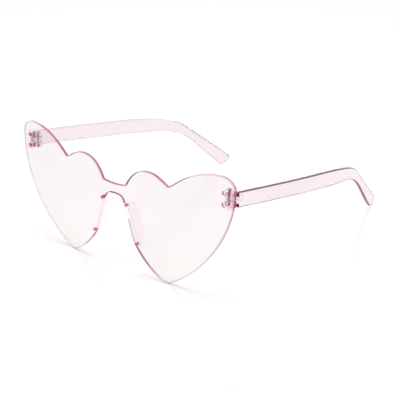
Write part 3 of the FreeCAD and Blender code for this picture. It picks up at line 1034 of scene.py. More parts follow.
class Finishes:
    """All finishes of the glasses, made once, in the order of the zones of each piece."""

    def __init__(self) -> None:
        """Make the materials from their finishes."""
        effects = SharedEffects()

        def made(*finishes: Finish) -> list[bpy.types.Material]:
            """The materials of some finishes."""
            return [finish.make(effects) for finish in finishes]

        along_arm = (1.0, 0.25, 1.6)
        edge_shade = (0.30, 0.20, 0.24)
        # The front's edges take the dyed colour where they turn up and out, and painted light and shade where
        # they turn away.
        edge_shading_axis = (0.45, 0.0, 0.9)
        ear_end = ((0.054, 0.078, 0.008), 0.034, 0.056)
        # In every cut edge, far and within are painted: far the light and shade of walls turned away from the
        # axis, within the pale reflection and dark shade seen from inside.
        self.sheet = made(
            DyedPlastic("sheet_face", (0.925, 0.885, 0.88), (0.905, 0.86, 0.86), bending=1.1, gloss=0.6,
                        scale=22.0),
            CutEdge("sheet_front_edge", (0.90, 0.54, 0.66), (0.28, 0.012, 0.065), bending=1.1, scale=45.0,
                    shade=edge_shade, far=(0.40, 0.30, 0.33), within=(0.98, 0.94, 0.95),
                    painted_inside_at_spot=(0.95, 0.83, 0.87), axis=edge_shading_axis),
            CutEdge("sheet_back_edge", (0.72, 0.19, 0.38), (0.24, 0.006, 0.06), clear=0.4, bending=1.1,
                    scale=45.0, shade=edge_shade, far=(0.10, 0.05, 0.06), within=(0.96, 0.90, 0.92),
                    painted_inside_at_spot=(0.36, 0.09, 0.165), axis=edge_shading_axis),
            CutEdge("sheet_nose_edge", (0.98, 0.91, 0.94), (0.96, 0.87, 0.91), bending=1.1, scale=45.0,
                    far=(0.98, 0.92, 0.945), within=(0.98, 0.95, 0.965), painted_inside_at_spot=(0.98, 0.95, 0.965)),
            # Seen from inside, the seat stretch is painted grey as the shade of the pad's seat.
            CutEdge("sheet_nose_seat", (0.97, 0.88, 0.92), (0.94, 0.82, 0.87), bending=1.1, scale=45.0,
                    far=(0.97, 0.89, 0.92), within=(0.42, 0.36, 0.39), painted_inside_at_spot=(0.42, 0.36, 0.39)),
        )
        self.arm = made(
            DyedPlastic("arm_face", (0.92, 0.82, 0.84), (0.885, 0.78, 0.805), bending=1.15, gloss=0.5,
                        scale=35.0, stretch=along_arm),
            CutEdge("arm_inner_edge", (0.88, 0.79, 0.82), (0.86, 0.75, 0.78), clear=0.8, bending=1.15,
                    scale=60.0, stretch=along_arm, far=(0.86, 0.77, 0.79), within=(0.95, 0.90, 0.91),
                    painted_inside_at_spot=(0.88, 0.78, 0.81), deep_spot=ear_end),
            CutEdge("arm_outer_edge", (0.09, 0.02, 0.038), (0.34, 0.11, 0.17), clear=0.4, bending=1.15,
                    scale=60.0, stretch=along_arm, far=(0.50, 0.36, 0.40), within=(0.95, 0.90, 0.91),
                    painted_inside_at_spot=(0.94, 0.88, 0.90), deep_spot=ear_end),
            # Near black painted shade on the arm's shoulder, in the gap against the hinge.
            CutEdge("arm_shoulder", (0.05, 0.02, 0.03), (0.02, 0.01, 0.015), clear=0.2, bending=1.15,
                    scale=300.0, far=(0.04, 0.02, 0.025), within=(0.45, 0.28, 0.34)),
        )
        hinge_face, hinge_edge, hinge_end = made(
            DyedPlastic("hinge_face", (0.98, 0.87, 0.915), (0.96, 0.80, 0.86), bending=1.05, scale=260.0),
            CutEdge("hinge_edge", (0.96, 0.70, 0.80), (0.91, 0.58, 0.69), bending=1.05, scale=300.0,
                    far=(0.92, 0.62, 0.72), within=(0.98, 0.88, 0.92)),
            # Dark maroon painted shade on the lugs' backs, in the crease against the arm's shoulder.
            CutEdge("hinge_end", (0.14, 0.03, 0.06), (0.07, 0.015, 0.03), clear=0.1, bending=1.12,
                    scale=300.0, far=(0.1, 0.03, 0.045), within=(0.45, 0.22, 0.30)),
        )
        self.hinge = [hinge_face, hinge_edge, hinge_edge, hinge_end]
        pad_face, pad_edge = made(
            DyedPlastic("pad_face", (0.975, 0.92, 0.95), (0.96, 0.895, 0.93), bending=1.1, scale=120.0),
            CutEdge("pad_edge", (0.97, 0.87, 0.905), (0.95, 0.82, 0.87), bending=1.1, scale=200.0,
                    far=(0.95, 0.86, 0.895), within=(0.98, 0.92, 0.945), painted_inside_at_spot=(0.98, 0.92, 0.945)),
        )
        self.pad = [pad_face, pad_edge, pad_edge]
        self.tongue = 3 * made(
            DyedPlastic("tongue_plastic", (0.99, 0.92, 0.95), (0.98, 0.88, 0.92), clear=0.8, bending=1.1,
                        polish=0.5, scale=200.0),
        )
        self.hinge_peg = made(
            DyedPlastic("hinge_peg", (0.98, 0.82, 0.88), (0.96, 0.75, 0.82), clear=0.9, bending=1.06,
                        scale=500.0),
        )
        self.pad_peg = made(
            DyedPlastic("pad_peg", (0.95, 0.36, 0.55), (0.88, 0.20, 0.42), clear=0.35, bending=1.2,
                        scale=500.0),
        )
        self.screw = made(TurnedSteel("screw_steel", (0.60, 0.53, 0.55), (0.34, 0.28, 0.30)))


# The glasses ------------------------------------------------------------------------------------


@dataclass(frozen=True)
class CurvedSheet:
    """The spherical sheet from which the front is cut.

    Attributes:
        radius: Radius of its front, mm.
        thickness: Its thickness, mm.
    """

    radius: float = 500.0
    thickness: float = 1.6

    def depth(self, x: np.ndarray | float, z: np.ndarray | float, behind: np.ndarray | float) -> np.ndarray:
        """Y of the layer that lies some distance behind the front."""
        return self.radius - np.sqrt((self.radius - behind) ** 2 - x**2 - z**2)

    def surface(self, u: np.ndarray, v: np.ndarray, w: np.ndarray) -> np.ndarray:
        """Places in the sheet from x, z and the depth from its middle layer."""
        return np.column_stack((u, self.depth(u, v, w + self.thickness / 2), v))

    def peg(self, at: Point, radius: float, proud: float, behind: float) -> Turning:
        """One peg through the sheet, with rounded ends.

        Args:
            at: Its middle across and up, mm.
            radius: Its radius, mm.
            proud: How far it stands out of the front, mm.
            behind: How far it reaches behind the sheet, mm.

        Returns:
            The peg.
        """
        x, z = at
        front = float(self.depth(x, z, -proud))
        rod = rounded_rod(radius, self.thickness + proud + behind, PEG_ROUND)
        return Turning(rod, (x, front, z), (0.0, 1.0, 0.0))


@dataclass
class PieceShelf:
    """Hands finished pieces to the shared frame.

    Attributes:
        stand: Where the lens frame stands.
    """

    stand: Stand

    def add(self, name: str, shapes: Iterable[Plate | Turning], finish: list[bpy.types.Material],
            node: str, side: Side = Side.LEFT) -> None:
        """Make one piece that stands for a node of the frame.

        Args:
            name: The piece's name.
            shapes: What it is drawn from.
            finish: Its materials by zone.
            node: The node that it stands for.
            side: Left as drawn, or right as its mirror image.
        """
        draft = MeshDraft()
        for shape in shapes:
            shape.draw(draft)
        piece = bpy.data.objects.new(name, draft.mesh(name, self.stand, side))
        for material in finish:
            piece.data.materials.append(material)
        bpy.context.scene.collection.objects.link(piece)
        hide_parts(node)
        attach(piece, frame["nodes"][node]["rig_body"])
        log.info("%s stands for %s with %d faces", name, node, len(piece.data.polygons))


@dataclass
class HeartFront:
    """The one-piece front: two hearts and the bridge between them.

    Attributes:
        sheet: The curved sheet it is cut from.
        edge_round: Polished round of its edge.
        corner_cut: Length of the rounds in its inner corners.
        bridge_top: Height of the top of the bridge.
        bridge_bottom: Height of the underside of the bridge.
        bridge_reach: Flat pull of the bridge's underside.
        junction: Corner between the bridge and the inner lobe.
        junction_pull: Rise of the inner lobe from that corner.
        inner_lobe: Top of the inner lobe.
        inner_pulls: Roundness of the inner lobe, inward and outward.
        notch: Notch of the heart.
        notch_in_pull: Fall of the inner lobe into the notch.
        notch_out_pull: Rise of the outer lobe out of it.
        outer_lobe: Top of the outer lobe.
        outer_pulls: Roundness of the outer lobe, inward and outward.
        widest: Widest point.
        widest_pulls: Roundness of the edge above it and below it.
        tip: Tip of the heart.
        tip_angle: Slope of the edge at the tip, degrees.
        tip_pulls: Length of the edge at the tip, outer and inner side.
        nasal: Middle of the inner edge beside the nose.
        nasal_angle: Direction of the edge there, degrees.
        nasal_pulls: Length of that edge, below and above.
        pad_edge: Stretch of the inner edge that a pad backs: across, and from low to high.
        seat_top: Height up to which that edge, seen from inside, is painted grey as the shade of the pad's
            seat.
        split: Where the front half of the edge ends, in thicknesses before the middle.
        step: Distance between points along the edge.
        spacing: Distance between points inside the faces.
    """

    sheet: CurvedSheet
    edge_round: float = 0.38
    corner_cut: float = 0.4
    bridge_top: float = 11.55
    bridge_bottom: float = 6.15
    bridge_reach: float = 6.7
    junction: Point = (7.5, 12.15)
    junction_pull: Point = (2.9, 4.9)
    inner_lobe: Point = (22.45, 22.55)
    inner_pulls: Pair = (8.6, 6.2)
    notch: Point = (35.35, 17.65)
    notch_in_pull: Point = (-3.2, 0.95)
    notch_out_pull: Point = (6.7, 5.15)
    outer_lobe: Point = (64.8, 29.45)
    outer_pulls: Pair = (14.4, 4.2)
    widest: Point = (72.9, 23.0)
    widest_pulls: Pair = (3.4, 24.3)
    tip: Point = (34.8, -33.6)
    tip_angle: float = 26.0
    tip_pulls: Pair = (21.8, 5.7)
    nasal: Point = (11.65, -13.9)
    nasal_angle: float = 106.4
    nasal_pulls: Pair = (9.0, 19.8)
    pad_edge: Triple = (18.0, -18.5, 2.5)
    seat_top: float = -5.0
    split: float = 0.125
    step: float = 0.45
    spacing: float = 3.2

    def half(self) -> np.ndarray:
        """One half of the edge, from the top of the bridge round to its underside.

        Returns:
            Points along the edge, one row each.
        """
        across = np.array((1.0, 0.0))
        up = np.array((0.0, 1.0))
        top, bottom = self.bridge_top * up, self.bridge_bottom * up
        junction, lobe, notch = (np.array(p) for p in (self.junction, self.inner_lobe, self.notch))
        outer, widest, tip, nasal = (np.array(p) for p in (self.outer_lobe, self.widest, self.tip, self.nasal))
        tip_way, nasal_way = (np.array((math.cos(math.radians(turn)), math.sin(math.radians(turn))))
                              for turn in (self.tip_angle, self.nasal_angle))
        spans = [
            (top, top + across * junction[0] / 2, junction),
            (junction, junction + self.junction_pull, lobe - across * self.inner_pulls[0], lobe),
            (lobe, lobe + across * self.inner_pulls[1], notch + self.notch_in_pull, notch),
            (notch, notch + self.notch_out_pull, outer - across * self.outer_pulls[0], outer),
            (outer, outer + across * self.outer_pulls[1], widest + up * self.widest_pulls[0], widest),
            (widest, widest - up * self.widest_pulls[1], tip + tip_way * self.tip_pulls[0], tip),
            (tip, tip - tip_way * self.tip_pulls[1], nasal - nasal_way * self.nasal_pulls[0], nasal),
            (nasal, nasal + nasal_way * self.nasal_pulls[1], bottom + across * self.bridge_reach, bottom),
        ]
        runs = [bezier(span, self.step) for span in spans]
        bridge = softened(runs[0], runs[1], self.corner_cut)
        lobes = softened(runs[2], runs[3], self.corner_cut)
        return np.vstack(bridge + lobes + runs[4:])

    def outline(self) -> np.ndarray:
        """The whole edge: one half and its mirror image."""
        half = self.half()
        return closed([half, half[::-1] * (-1.0, 1.0)])

    def zones(self, loop: np.ndarray, outward: np.ndarray, zone: Zone) -> np.ndarray:
        """Finishes along the rims: peg holes and edges that a pad backs are ends, low at the back a seat
        that is painted grey from inside as the shade of the pad's seat.

        Args:
            loop: Outline of the front or of a peg hole.
            outward: Directions away from the material along it; not used.
            zone: The rim's own zone.

        Returns:
            One material index per point.
        """
        if np.ptp(loop) < self.bridge_top:
            return np.full(len(loop), Zone.END.value)
        x, z = loop.T
        across, low, high = self.pad_edge
        seat = (z < self.seat_top) & (zone is Zone.FAR_RIM)
        end = np.where(seat, Zone.SEAT.value, Zone.END.value)
        return np.where((np.abs(x) < across) & (z > low) & (z < high), end, zone.value)

    def build(self, shelf: PieceShelf, finishes: Finishes, holes: list[tuple[Point, float]]) -> None:
        """Build the front and dress it.

        Args:
            shelf: Takes the piece.
            finishes: The finishes.
            holes: Middle and radius of each peg hole of the left half.
        """
        cut = [circle((sign * x, z), radius) for sign in (1, -1) for (x, z), radius in holes]
        plate = Plate(self.outline(), self.sheet.surface, self.sheet.thickness, self.edge_round, self.spacing,
                      cut, self.zones, split=-self.split * self.sheet.thickness)
        shelf.add("heart_front", [plate], finishes.sheet, "lens_shield")


@dataclass
class Hinge:
    """A hinge block behind the front: a plate on two pegs, and a fork about the axis.

    Attributes:
        sheet: The curved sheet that it sits on.
        x: Hinge axis across.
        z: Middle of the hinge.
        bond: Gap to the sheet.
        plate_thickness: Plate at the axis.
        plate_height: Height of the plate.
        plate_lift: Middle of the plate above that of the hinge.
        plate_start: Inner side of the plate from the axis.
        plate_spacing: Distance between points inside the plate's faces.
        reach: Outer side of plate and fork from the axis.
        corner: Round of the outer corners.
        corner_step: Distance between points round those corners.
        lug_radius: Round of a lug about the axis.
        lug_height: Height of a lug.
        lug_sunk: How deep a lug sits in the plate.
        lug_side: Straight start of a lug's outer side.
        lug_pull: Pull of the points along a lug's back, in from its outer side.
        lug_step: Distance between points along that back.
        lug_spacing: Distance between points inside the faces of a lug or the tongue.
        eye_step: Distance between points round the eye of a lug or the tongue.
        tongue_height: Height of the tongue between the lugs.
        tongue_gap: Gap above and below the tongue.
        turning_gap: Gap round the turning tongue.
        bore: Radius of the bore.
        edge_round: Round of the edges.
        peg_radius: Radius of a peg.
        peg_clearance: Gap round a peg.
        peg_proud: How far a peg stands out of the front.
        peg_out: Pegs outside the axis.
        peg_lift: Middle of the pegs above that of the hinge.
        peg_spacing: Distance between the pegs.
    """

    sheet: CurvedSheet
    x: float = 66.2
    z: float = 17.8
    bond: float = 0.03
    plate_thickness: float = 1.8
    plate_height: float = 9.6
    plate_lift: float = 0.4
    plate_start: float = 0.4
    plate_spacing: float = 1.2
    reach: float = 4.7
    corner: float = 0.6
    corner_step: float = 0.1
    lug_radius: float = 2.0
    lug_height: float = 2.2
    lug_sunk: float = 0.3
    lug_side: float = 0.7
    lug_pull: float = 1.0
    lug_step: float = 0.3
    lug_spacing: float = 0.9
    eye_step: float = 0.2
    tongue_height: float = 2.9
    tongue_gap: float = 0.12
    turning_gap: float = 0.3
    bore: float = 0.64
    edge_round: float = 0.25
    peg_radius: float = 1.1
    peg_clearance: float = 0.04
    peg_proud: float = 0.25
    peg_out: float = 0.8
    peg_lift: float = 0.9
    peg_spacing: float = 5.8

    def middle(self) -> np.ndarray:
        """Middle of the hinge axis in the lens frame."""
        behind = float(self.sheet.depth(self.x, self.z, self.sheet.thickness))
        return np.array((self.x, behind + self.plate_thickness + self.lug_radius + self.turning_gap, self.z))

    def pegs(self) -> list[Point]:
        """Middles of the two pegs in the front."""
        x, z, half = self.x + self.peg_out, self.z + self.peg_lift, self.peg_spacing / 2
        return [(x, z + half), (x, z - half)]

    def plate(self) -> Plate:
        """The base plate, whose front follows the back of the sheet.

        Returns:
            The plate.
        """
        back = self.middle()[1] - self.lug_radius - self.turning_gap
        low = self.z + self.plate_lift - self.plate_height / 2
        high = low + self.plate_height
        left, right, r = self.x + self.plate_start, self.x + self.reach, self.corner
        corners = ((right - r, low + r), (right - r, high - r), (left + r, high - r), (left + r, low + r))
        outline = closed(arc(corner, r, 90.0 * turn - 90.0, 90.0 * turn, self.corner_step)
                         for turn, corner in enumerate(corners))
        half = self.plate_thickness / 2

        def surface(u: np.ndarray, v: np.ndarray, w: np.ndarray) -> np.ndarray:
            """Places between the back of the sheet and the flat back of the plate."""
            seat = self.sheet.depth(u, v, self.sheet.thickness + self.bond)
            return np.column_stack((u, seat + (back - seat) * (w + half) / (2 * half), v))

        return Plate(outline, surface, self.plate_thickness, self.edge_round, self.plate_spacing)

    def lug_zones(self, loop: np.ndarray, outward: np.ndarray, zone: Zone) -> np.ndarray:
        """Finishes along the rim of a lug, whose back beside its eye is an end, painted dark as shade."""
        back = (outward[:, 1] > FACING) & (loop[:, 0] > self.lug_radius)
        return np.where(back, Zone.END.value, zone.value)

    def lug(self, level: float) -> Plate:
        """One lug of the fork.

        Args:
            level: Middle of the lug above that of the hinge.

        Returns:
            The lug.
        """
        middle = self.middle()
        seat = -self.lug_radius - self.turning_gap - self.lug_sunk
        meeting = math.degrees(math.acos(self.plate_start / self.lug_radius))
        r = self.corner
        outline = eased(closed([
            np.array(((self.plate_start, seat), (self.reach, seat), (self.reach, seat + self.lug_side))),
            arc((self.reach - r, -r), r, 0.0, 90.0, self.corner_step),
            bezier(((self.reach - r, 0.0), (self.reach - self.lug_pull, 0.0), (self.lug_radius, 0.0)),
                   self.lug_step),
            arc((0.0, 0.0), self.lug_radius, 0.0, 360.0 - meeting, self.eye_step),
        ]), CORNER_ROUNDS * self.edge_round)

        def surface(u: np.ndarray, v: np.ndarray, w: np.ndarray) -> np.ndarray:
            """Places about the hinge axis."""
            return np.column_stack((u, v, w + level)) + middle

        return Plate(outline, surface, self.lug_height, self.edge_round, self.lug_spacing,
                     [circle((0.0, 0.0), self.bore)], self.lug_zones)

    def build(self, shelf: PieceShelf, finishes: Finishes, side: Side) -> None:
        """Build one hinge block and dress it.

        Args:
            shelf: Takes the pieces.
            finishes: The finishes.
            side: Which hinge.
        """
        node = side.named("hinge_block")
        level = (self.tongue_height + self.lug_height) / 2 + self.tongue_gap
        pegs = [self.sheet.peg(at, self.peg_radius, self.peg_proud, self.bond) for at in self.pegs()]
        shelf.add(side.named("hinge_plate"), [self.plate()], finishes.hinge, node, side)
        shelf.add(side.named("hinge_fork"), [self.lug(level), self.lug(-level)], finishes.hinge, node, side)
        shelf.add(side.named("hinge_pegs"), pegs, finishes.hinge_peg, node, side)


@dataclass
class HingeScrew:
    """The slotted screw of a hinge, whose shape and sizes come from the frame."""

    def build(self, finishes: Finishes, side: Side) -> None:
        """Dress one screw in turned steel.

        Args:
            finishes: The finishes.
            side: Which screw.
        """
        node = side.named("hinge_screw")
        materials = frame["nodes"][node].data.materials
        materials.clear()
        for material in finishes.screw:
            materials.append(material)
        log.info("%s keeps its own shape", node)


@dataclass
class FoldingArm:
    """A folding arm with its hook and the tongue of the hinge.

    Attributes:
        hinge: The hinge it turns in.
        thickness: Thickness of the arm.
        offset: Middle of the arm outside the axis.
        edge_round: Round of the long edges.
        root_y: Shoulder behind the axis.
        root_top: Top of the arm above the middle of the hinge.
        root_height: Height of the arm at the hinge.
        root_reach: How far behind the axis a wall still belongs to the shoulder.
        root_margin: Pale stretch of the shoulder above and below the tongue.
        top_bend: Corner of the top edge behind and above the hinge.
        top_bend_run: Start and end of the bend about that corner.
        low_bend: Corner of the low edge.
        low_bend_run: Start and end of the bend about that corner.
        hook_angles: Fall of the hook's top and low edges, degrees.
        hook_lengths: Length of the hook along those edges.
        tip_rounds: Roundness of the hook's end, top and low side.
        bow_out: Outward bow of the shank.
        shank_length: Shank before the arm turns inward.
        shank_in: Inward drift of the shank.
        shank_slope: Inward slope at its end.
        hook_in: Inward drift at the end of the hook.
        hook_slope: Inward slope there.
        tongue_sunk: How deep the tongue sits in the inside of the arm.
        tongue_back: Gap between the tongue and the shoulder.
        mark_radius: Radius of the moulding mark.
        mark_bead: Half the width of the mark's bead, and its height.
        mark_facets: Facets round that bead.
        mark: Place of the mark behind and above the middle of the hinge.
        long_step: Distance between points along the straight edges.
        bend_step: Distance between points round the bends.
        end_step: Distance between points round the end of the hook.
        root_step: Distance between points along the shoulder.
        spacing: Distance between points inside the faces.
    """

    hinge: Hinge
    thickness: float = 2.2
    offset: float = 4.1
    edge_round: float = 0.55
    root_y: float = 0.12
    root_top: float = 3.9
    root_height: float = 7.9
    root_reach: float = 1.0
    # root_margin: Stretch of the shoulder above and below the tongue that stays pale, outside the painted
    # shade.
    root_margin: float = 0.3
    top_bend: Point = (106.6, -10.4)
    top_bend_run: Pair = (40.0, 10.5)
    low_bend: Point = (112.2, -19.8)
    low_bend_run: Pair = (13.4, 15.8)
    hook_angles: Pair = (37.5, 42.7)
    hook_lengths: Pair = (53.0, 39.6)
    tip_rounds: Pair = (5.2, 5.0)
    bow_out: float = 0.1
    shank_length: float = 88.5
    shank_in: float = 2.6
    shank_slope: float = 0.11
    hook_in: float = 17.2
    hook_slope: float = 0.09
    tongue_sunk: float = 0.05
    tongue_back: float = 0.02
    mark_radius: float = 1.4
    mark_bead: Pair = (0.16, 0.07)
    mark_facets: int = 12
    mark: Point = (2.0, 0.8)
    long_step: float = 1.5
    bend_step: float = 0.8
    end_step: float = 0.5
    root_step: float = 0.3
    spacing: float = 2.4

    def plan(self, y: np.ndarray) -> np.ndarray:
        """How far the middle of the arm lies outside the axis.

        Args:
            y: Distances behind the axis.

        Returns:
            Distances outside it.
        """
        shank, rest = self.shank_length, self.top_bend[0] + self.hook_lengths[0] - self.shank_length
        turn, end = -self.shank_in, -self.hook_in
        first = (0.0, self.bow_out, turn + self.shank_slope * shank / 3, turn)
        second = (turn, turn - self.shank_slope * rest / 3, end + self.hook_slope * rest / 3, end)
        weights = np.where(y < shank, y / shank, (y - shank) / rest)
        poles = [np.where(y < shank, a, b) for a, b in zip(first, second)]
        return self.offset + blended(poles, weights)

    def surface(self, u: np.ndarray, v: np.ndarray, w: np.ndarray) -> np.ndarray:
        """Places in the arm from the distances behind, above and across it."""
        return np.column_stack((self.plan(u) + w, u, v)) + self.hinge.middle()

    def long_edge(self, root_z: float, corner: Point, run: Pair, fall: float,
                  length: float) -> tuple[list[np.ndarray], np.ndarray]:
        """One long edge of the side outline.

        Args:
            root_z: Height of the edge at the hinge.
            corner: Corner of its bend.
            run: Start and end of the bend about the corner.
            fall: Fall of the hook, degrees.
            length: Length of the hook from the corner.

        Returns:
            The spans of the edge, and the direction of the hook.
        """
        root, bend = np.array((self.root_y, root_z)), np.array(corner)
        shank = (bend - root) / np.linalg.norm(bend - root)
        hook = np.array((math.cos(math.radians(fall)), -math.sin(math.radians(fall))))
        start, finish, end = bend - shank * run[0], bend + hook * run[1], bend + hook * length
        spans = [bezier((root, (root + start) / 2, start), self.long_step),
                 bezier((start, bend, finish), self.bend_step),
                 bezier((finish, (finish + end) / 2, end), self.long_step)]
        return spans, hook

    def outline(self) -> np.ndarray:
        """The side outline, closed by the shoulder and the rounded end.

        Returns:
            Points round the outline, one row each.
        """
        top, top_way = self.long_edge(self.root_top, self.top_bend, self.top_bend_run, self.hook_angles[0],
                                      self.hook_lengths[0])
        low, low_way = self.long_edge(self.root_top - self.root_height, self.low_bend, self.low_bend_run,
                                      self.hook_angles[1], self.hook_lengths[1])
        top_end, low_end = top[-1][-1], low[-1][-1]
        end = bezier((top_end, top_end + top_way * self.tip_rounds[0], low_end + low_way * self.tip_rounds[1],
                      low_end), self.end_step)
        back = [span[::-1] for span in reversed(low)]
        low_root, top_root = back[-1][-1], top[0][0]
        shoulder = bezier((low_root, (low_root + top_root) / 2, top_root), self.root_step)
        lower = softened(back[-1], shoulder, CORNER_ROUNDS * self.edge_round)
        upper = softened(lower[-1], top[0], CORNER_ROUNDS * self.edge_round)
        return closed([*top[1:], end, *back[:-1], *lower[:-1], *upper])

    def tongue(self) -> Plate:
        """The tongue of the hinge, on the inside of the arm.

        Returns:
            The tongue.
        """
        hinge, middle, r = self.hinge, self.hinge.middle(), self.hinge.lug_radius
        inner, front = self.offset - self.thickness / 2 + self.tongue_sunk, self.root_y - self.tongue_back
        corners = np.array(((self.offset, -r), (self.offset, front), (inner, front), (inner, r)))
        outline = eased(closed([arc((0.0, 0.0), r, 90.0, 270.0, hinge.eye_step), corners]),
                        CORNER_ROUNDS * hinge.edge_round)

        def surface(u: np.ndarray, v: np.ndarray, w: np.ndarray) -> np.ndarray:
            """Places about the hinge axis."""
            return np.column_stack((u, v, w)) + middle

        return Plate(outline, surface, hinge.tongue_height, hinge.edge_round, hinge.lug_spacing,
                     [circle((0.0, 0.0), hinge.bore)])

    def moulding_mark(self) -> Turning:
        """The low ring that the mould's pin leaves on the outside of the arm.

        Returns:
            The ring.
        """
        at, up = self.mark
        out = float(self.plan(np.array(at))) + self.thickness / 2
        foot = tuple(self.hinge.middle() + np.array((out, at, up)))
        turns = np.linspace(0.0, 2.0 * math.pi, self.mark_facets, endpoint=False)
        width, height = self.mark_bead
        bead = np.column_stack((self.mark_radius + width * np.cos(turns), height * np.sin(turns)))
        return Turning(bead, foot, (1.0, 0.0, 0.0), Zone.RIM, ring=True)

    def zones(self, loop: np.ndarray, outward: np.ndarray, zone: Zone) -> np.ndarray:
        """Rim finishes: the shoulder's outer half is an end beside the tongue, painted dark as shade; its rest
        is pale.

        Args:
            loop: Side outline of the arm.
            outward: Directions away from the material along it.
            zone: The rim's own zone.

        Returns:
            One material index per point.
        """
        beside = np.abs(loop[:, 1]) > self.hinge.tongue_height / 2 + self.root_margin
        end = np.where(beside & (zone is Zone.FAR_RIM), Zone.END.value, Zone.RIM.value)
        return np.where((outward[:, 0] < -FACING) & (loop[:, 0] < self.root_reach), end, zone.value)

    def build(self, shelf: PieceShelf, finishes: Finishes, side: Side) -> None:
        """Build one arm and dress it.

        Args:
            shelf: Takes the pieces.
            finishes: The finishes.
            side: Which arm.
        """
        node = side.named("temple")
        blade = Plate(self.outline(), self.surface, self.thickness, self.edge_round, self.spacing,
                      zoning=self.zones)
        shelf.add(side.named("arm_blade"), [blade], finishes.arm, node, side)
        shelf.add(side.named("arm_tongue"), [self.tongue()], finishes.tongue, node, side)
        shelf.add(side.named("arm_mark"), [self.moulding_mark()], finishes.arm, node, side)


@dataclass
class NosePad:
    """A nose pad: a rounded wing behind the inner edge of a heart, on two pegs.

    Attributes:
        sheet: The curved sheet that it sits on.
        seat: Point of the heart's inner edge from which it is placed.
        inset: Middle of the pad in from that edge.
        drop: Lower end of the pad below that point, along its seat.
        bond: Gap to the sheet.
        thickness: Thickness of the wing.
        height: Height of the wing along its seat.
        depth: How far the wing reaches back.
        slant: Slant of the seat, degrees.
        splay: Inward turn towards the back, degrees.
        rounds: Rounds of the upper and lower back corners.
        edge_round: Round of the edges.
        peg_radius: Radius of a peg.
        peg_clearance: Gap round a peg.
        peg_end: Middle of a peg from the pad's end.
        peg_proud: How far a peg stands out of the front.
        corner_step: Distance between points round the corners.
        side_step: Distance between points along the straight sides.
        spacing: Distance between points inside the faces.
    """

    sheet: CurvedSheet
    seat: Point = (11.65, -13.9)
    inset: float = 1.9
    drop: float = 5.4
    bond: float = 0.03
    thickness: float = 1.4
    height: float = 23.7
    depth: float = 6.9
    slant: float = 18.1
    splay: float = 5.0
    rounds: Pair = (6.7, 8.0)
    edge_round: float = 0.5
    peg_radius: float = 0.9
    peg_clearance: float = 0.04
    peg_end: float = 1.6
    peg_proud: float = 0.25
    corner_step: float = 0.4
    side_step: float = 0.6
    spacing: float = 1.4

    def middle(self) -> Point:
        """Middle of the pad's seat across and up.

        Returns:
            The point.
        """
        along = self.height / 2 - self.drop
        turn = math.radians(self.slant)
        return (self.seat[0] + self.inset - along * math.sin(turn), self.seat[1] + along * math.cos(turn))

    def pegs(self) -> list[Point]:
        """Middles of the two pegs in the front.

        Returns:
            The upper and the lower one.
        """
        x, z = self.middle()
        arm, turn = self.height / 2 - self.peg_end, math.radians(self.slant)
        return [(x - sign * arm * math.sin(turn), z + sign * arm * math.cos(turn)) for sign in (1, -1)]

    def surface(self, u: np.ndarray, v: np.ndarray, w: np.ndarray) -> np.ndarray:
        """Places in the slanted wing, whose front follows the back of the sheet.

        Args:
            u: Distance back.
            v: Height along the seat.
            w: Depth across the wing.

        Returns:
            Places in the lens frame.
        """
        slant, splay = math.radians(self.slant), math.radians(self.splay)
        x, z = self.middle()
        turned = w * math.cos(splay) - u * math.sin(splay)
        back = w * math.sin(splay) + u * math.cos(splay)
        across = turned * math.cos(slant) - v * math.sin(slant) + x
        up = turned * math.sin(slant) + v * math.cos(slant) + z
        seat = self.sheet.depth(across, up, self.sheet.thickness + self.bond)
        short = seat - w * math.sin(splay) - self.sheet.thickness * math.cos(splay)
        near = 1.0 - (u - self.sheet.thickness) / self.depth
        return np.column_stack((across, back + near * short, up))

    def wing(self) -> Plate:
        """The wing with its two rounded corners.

        Returns:
            The wing.
        """
        front, back, half = self.sheet.thickness, self.depth + self.sheet.thickness, self.height / 2
        top, low = self.rounds
        start = -math.degrees(math.acos((front - back + low) / low))
        foot = arc((back - low, low - half), low, start, 0.0, self.corner_step)
        rear = bezier(((back, low - half), (back, 0.0), (back, half - top)), self.side_step)
        head = np.vstack((arc((back - top, half - top), top, 0.0, 90.0, self.corner_step), (front, half)))
        seat = bezier(((front, half), (front, 0.0), foot[0]), self.side_step)
        upper = softened(head, seat, CORNER_ROUNDS * self.edge_round)
        lower = softened(upper[-1], foot, CORNER_ROUNDS * self.edge_round)
        outline = closed([rear, *upper[:-1], *lower])
        return Plate(outline, self.surface, self.thickness, self.edge_round, self.spacing)

    def build(self, shelf: PieceShelf, finishes: Finishes, side: Side) -> None:
        """Build one nose pad and dress it.

        Args:
            shelf: Takes the pieces.
            finishes: The finishes.
            side: Which pad.
        """
        node = side.named("nose_pad")
        pegs = [self.sheet.peg(at, self.peg_radius, self.peg_proud, self.peg_clearance) for at in self.pegs()]
        shelf.add(side.named("pad_wing"), [self.wing()], finishes.pad, node, side)
        shelf.add(side.named("pad_pegs"), pegs, finishes.pad_peg, node, side)


# The studio -------------------------------------------------------------------------------------


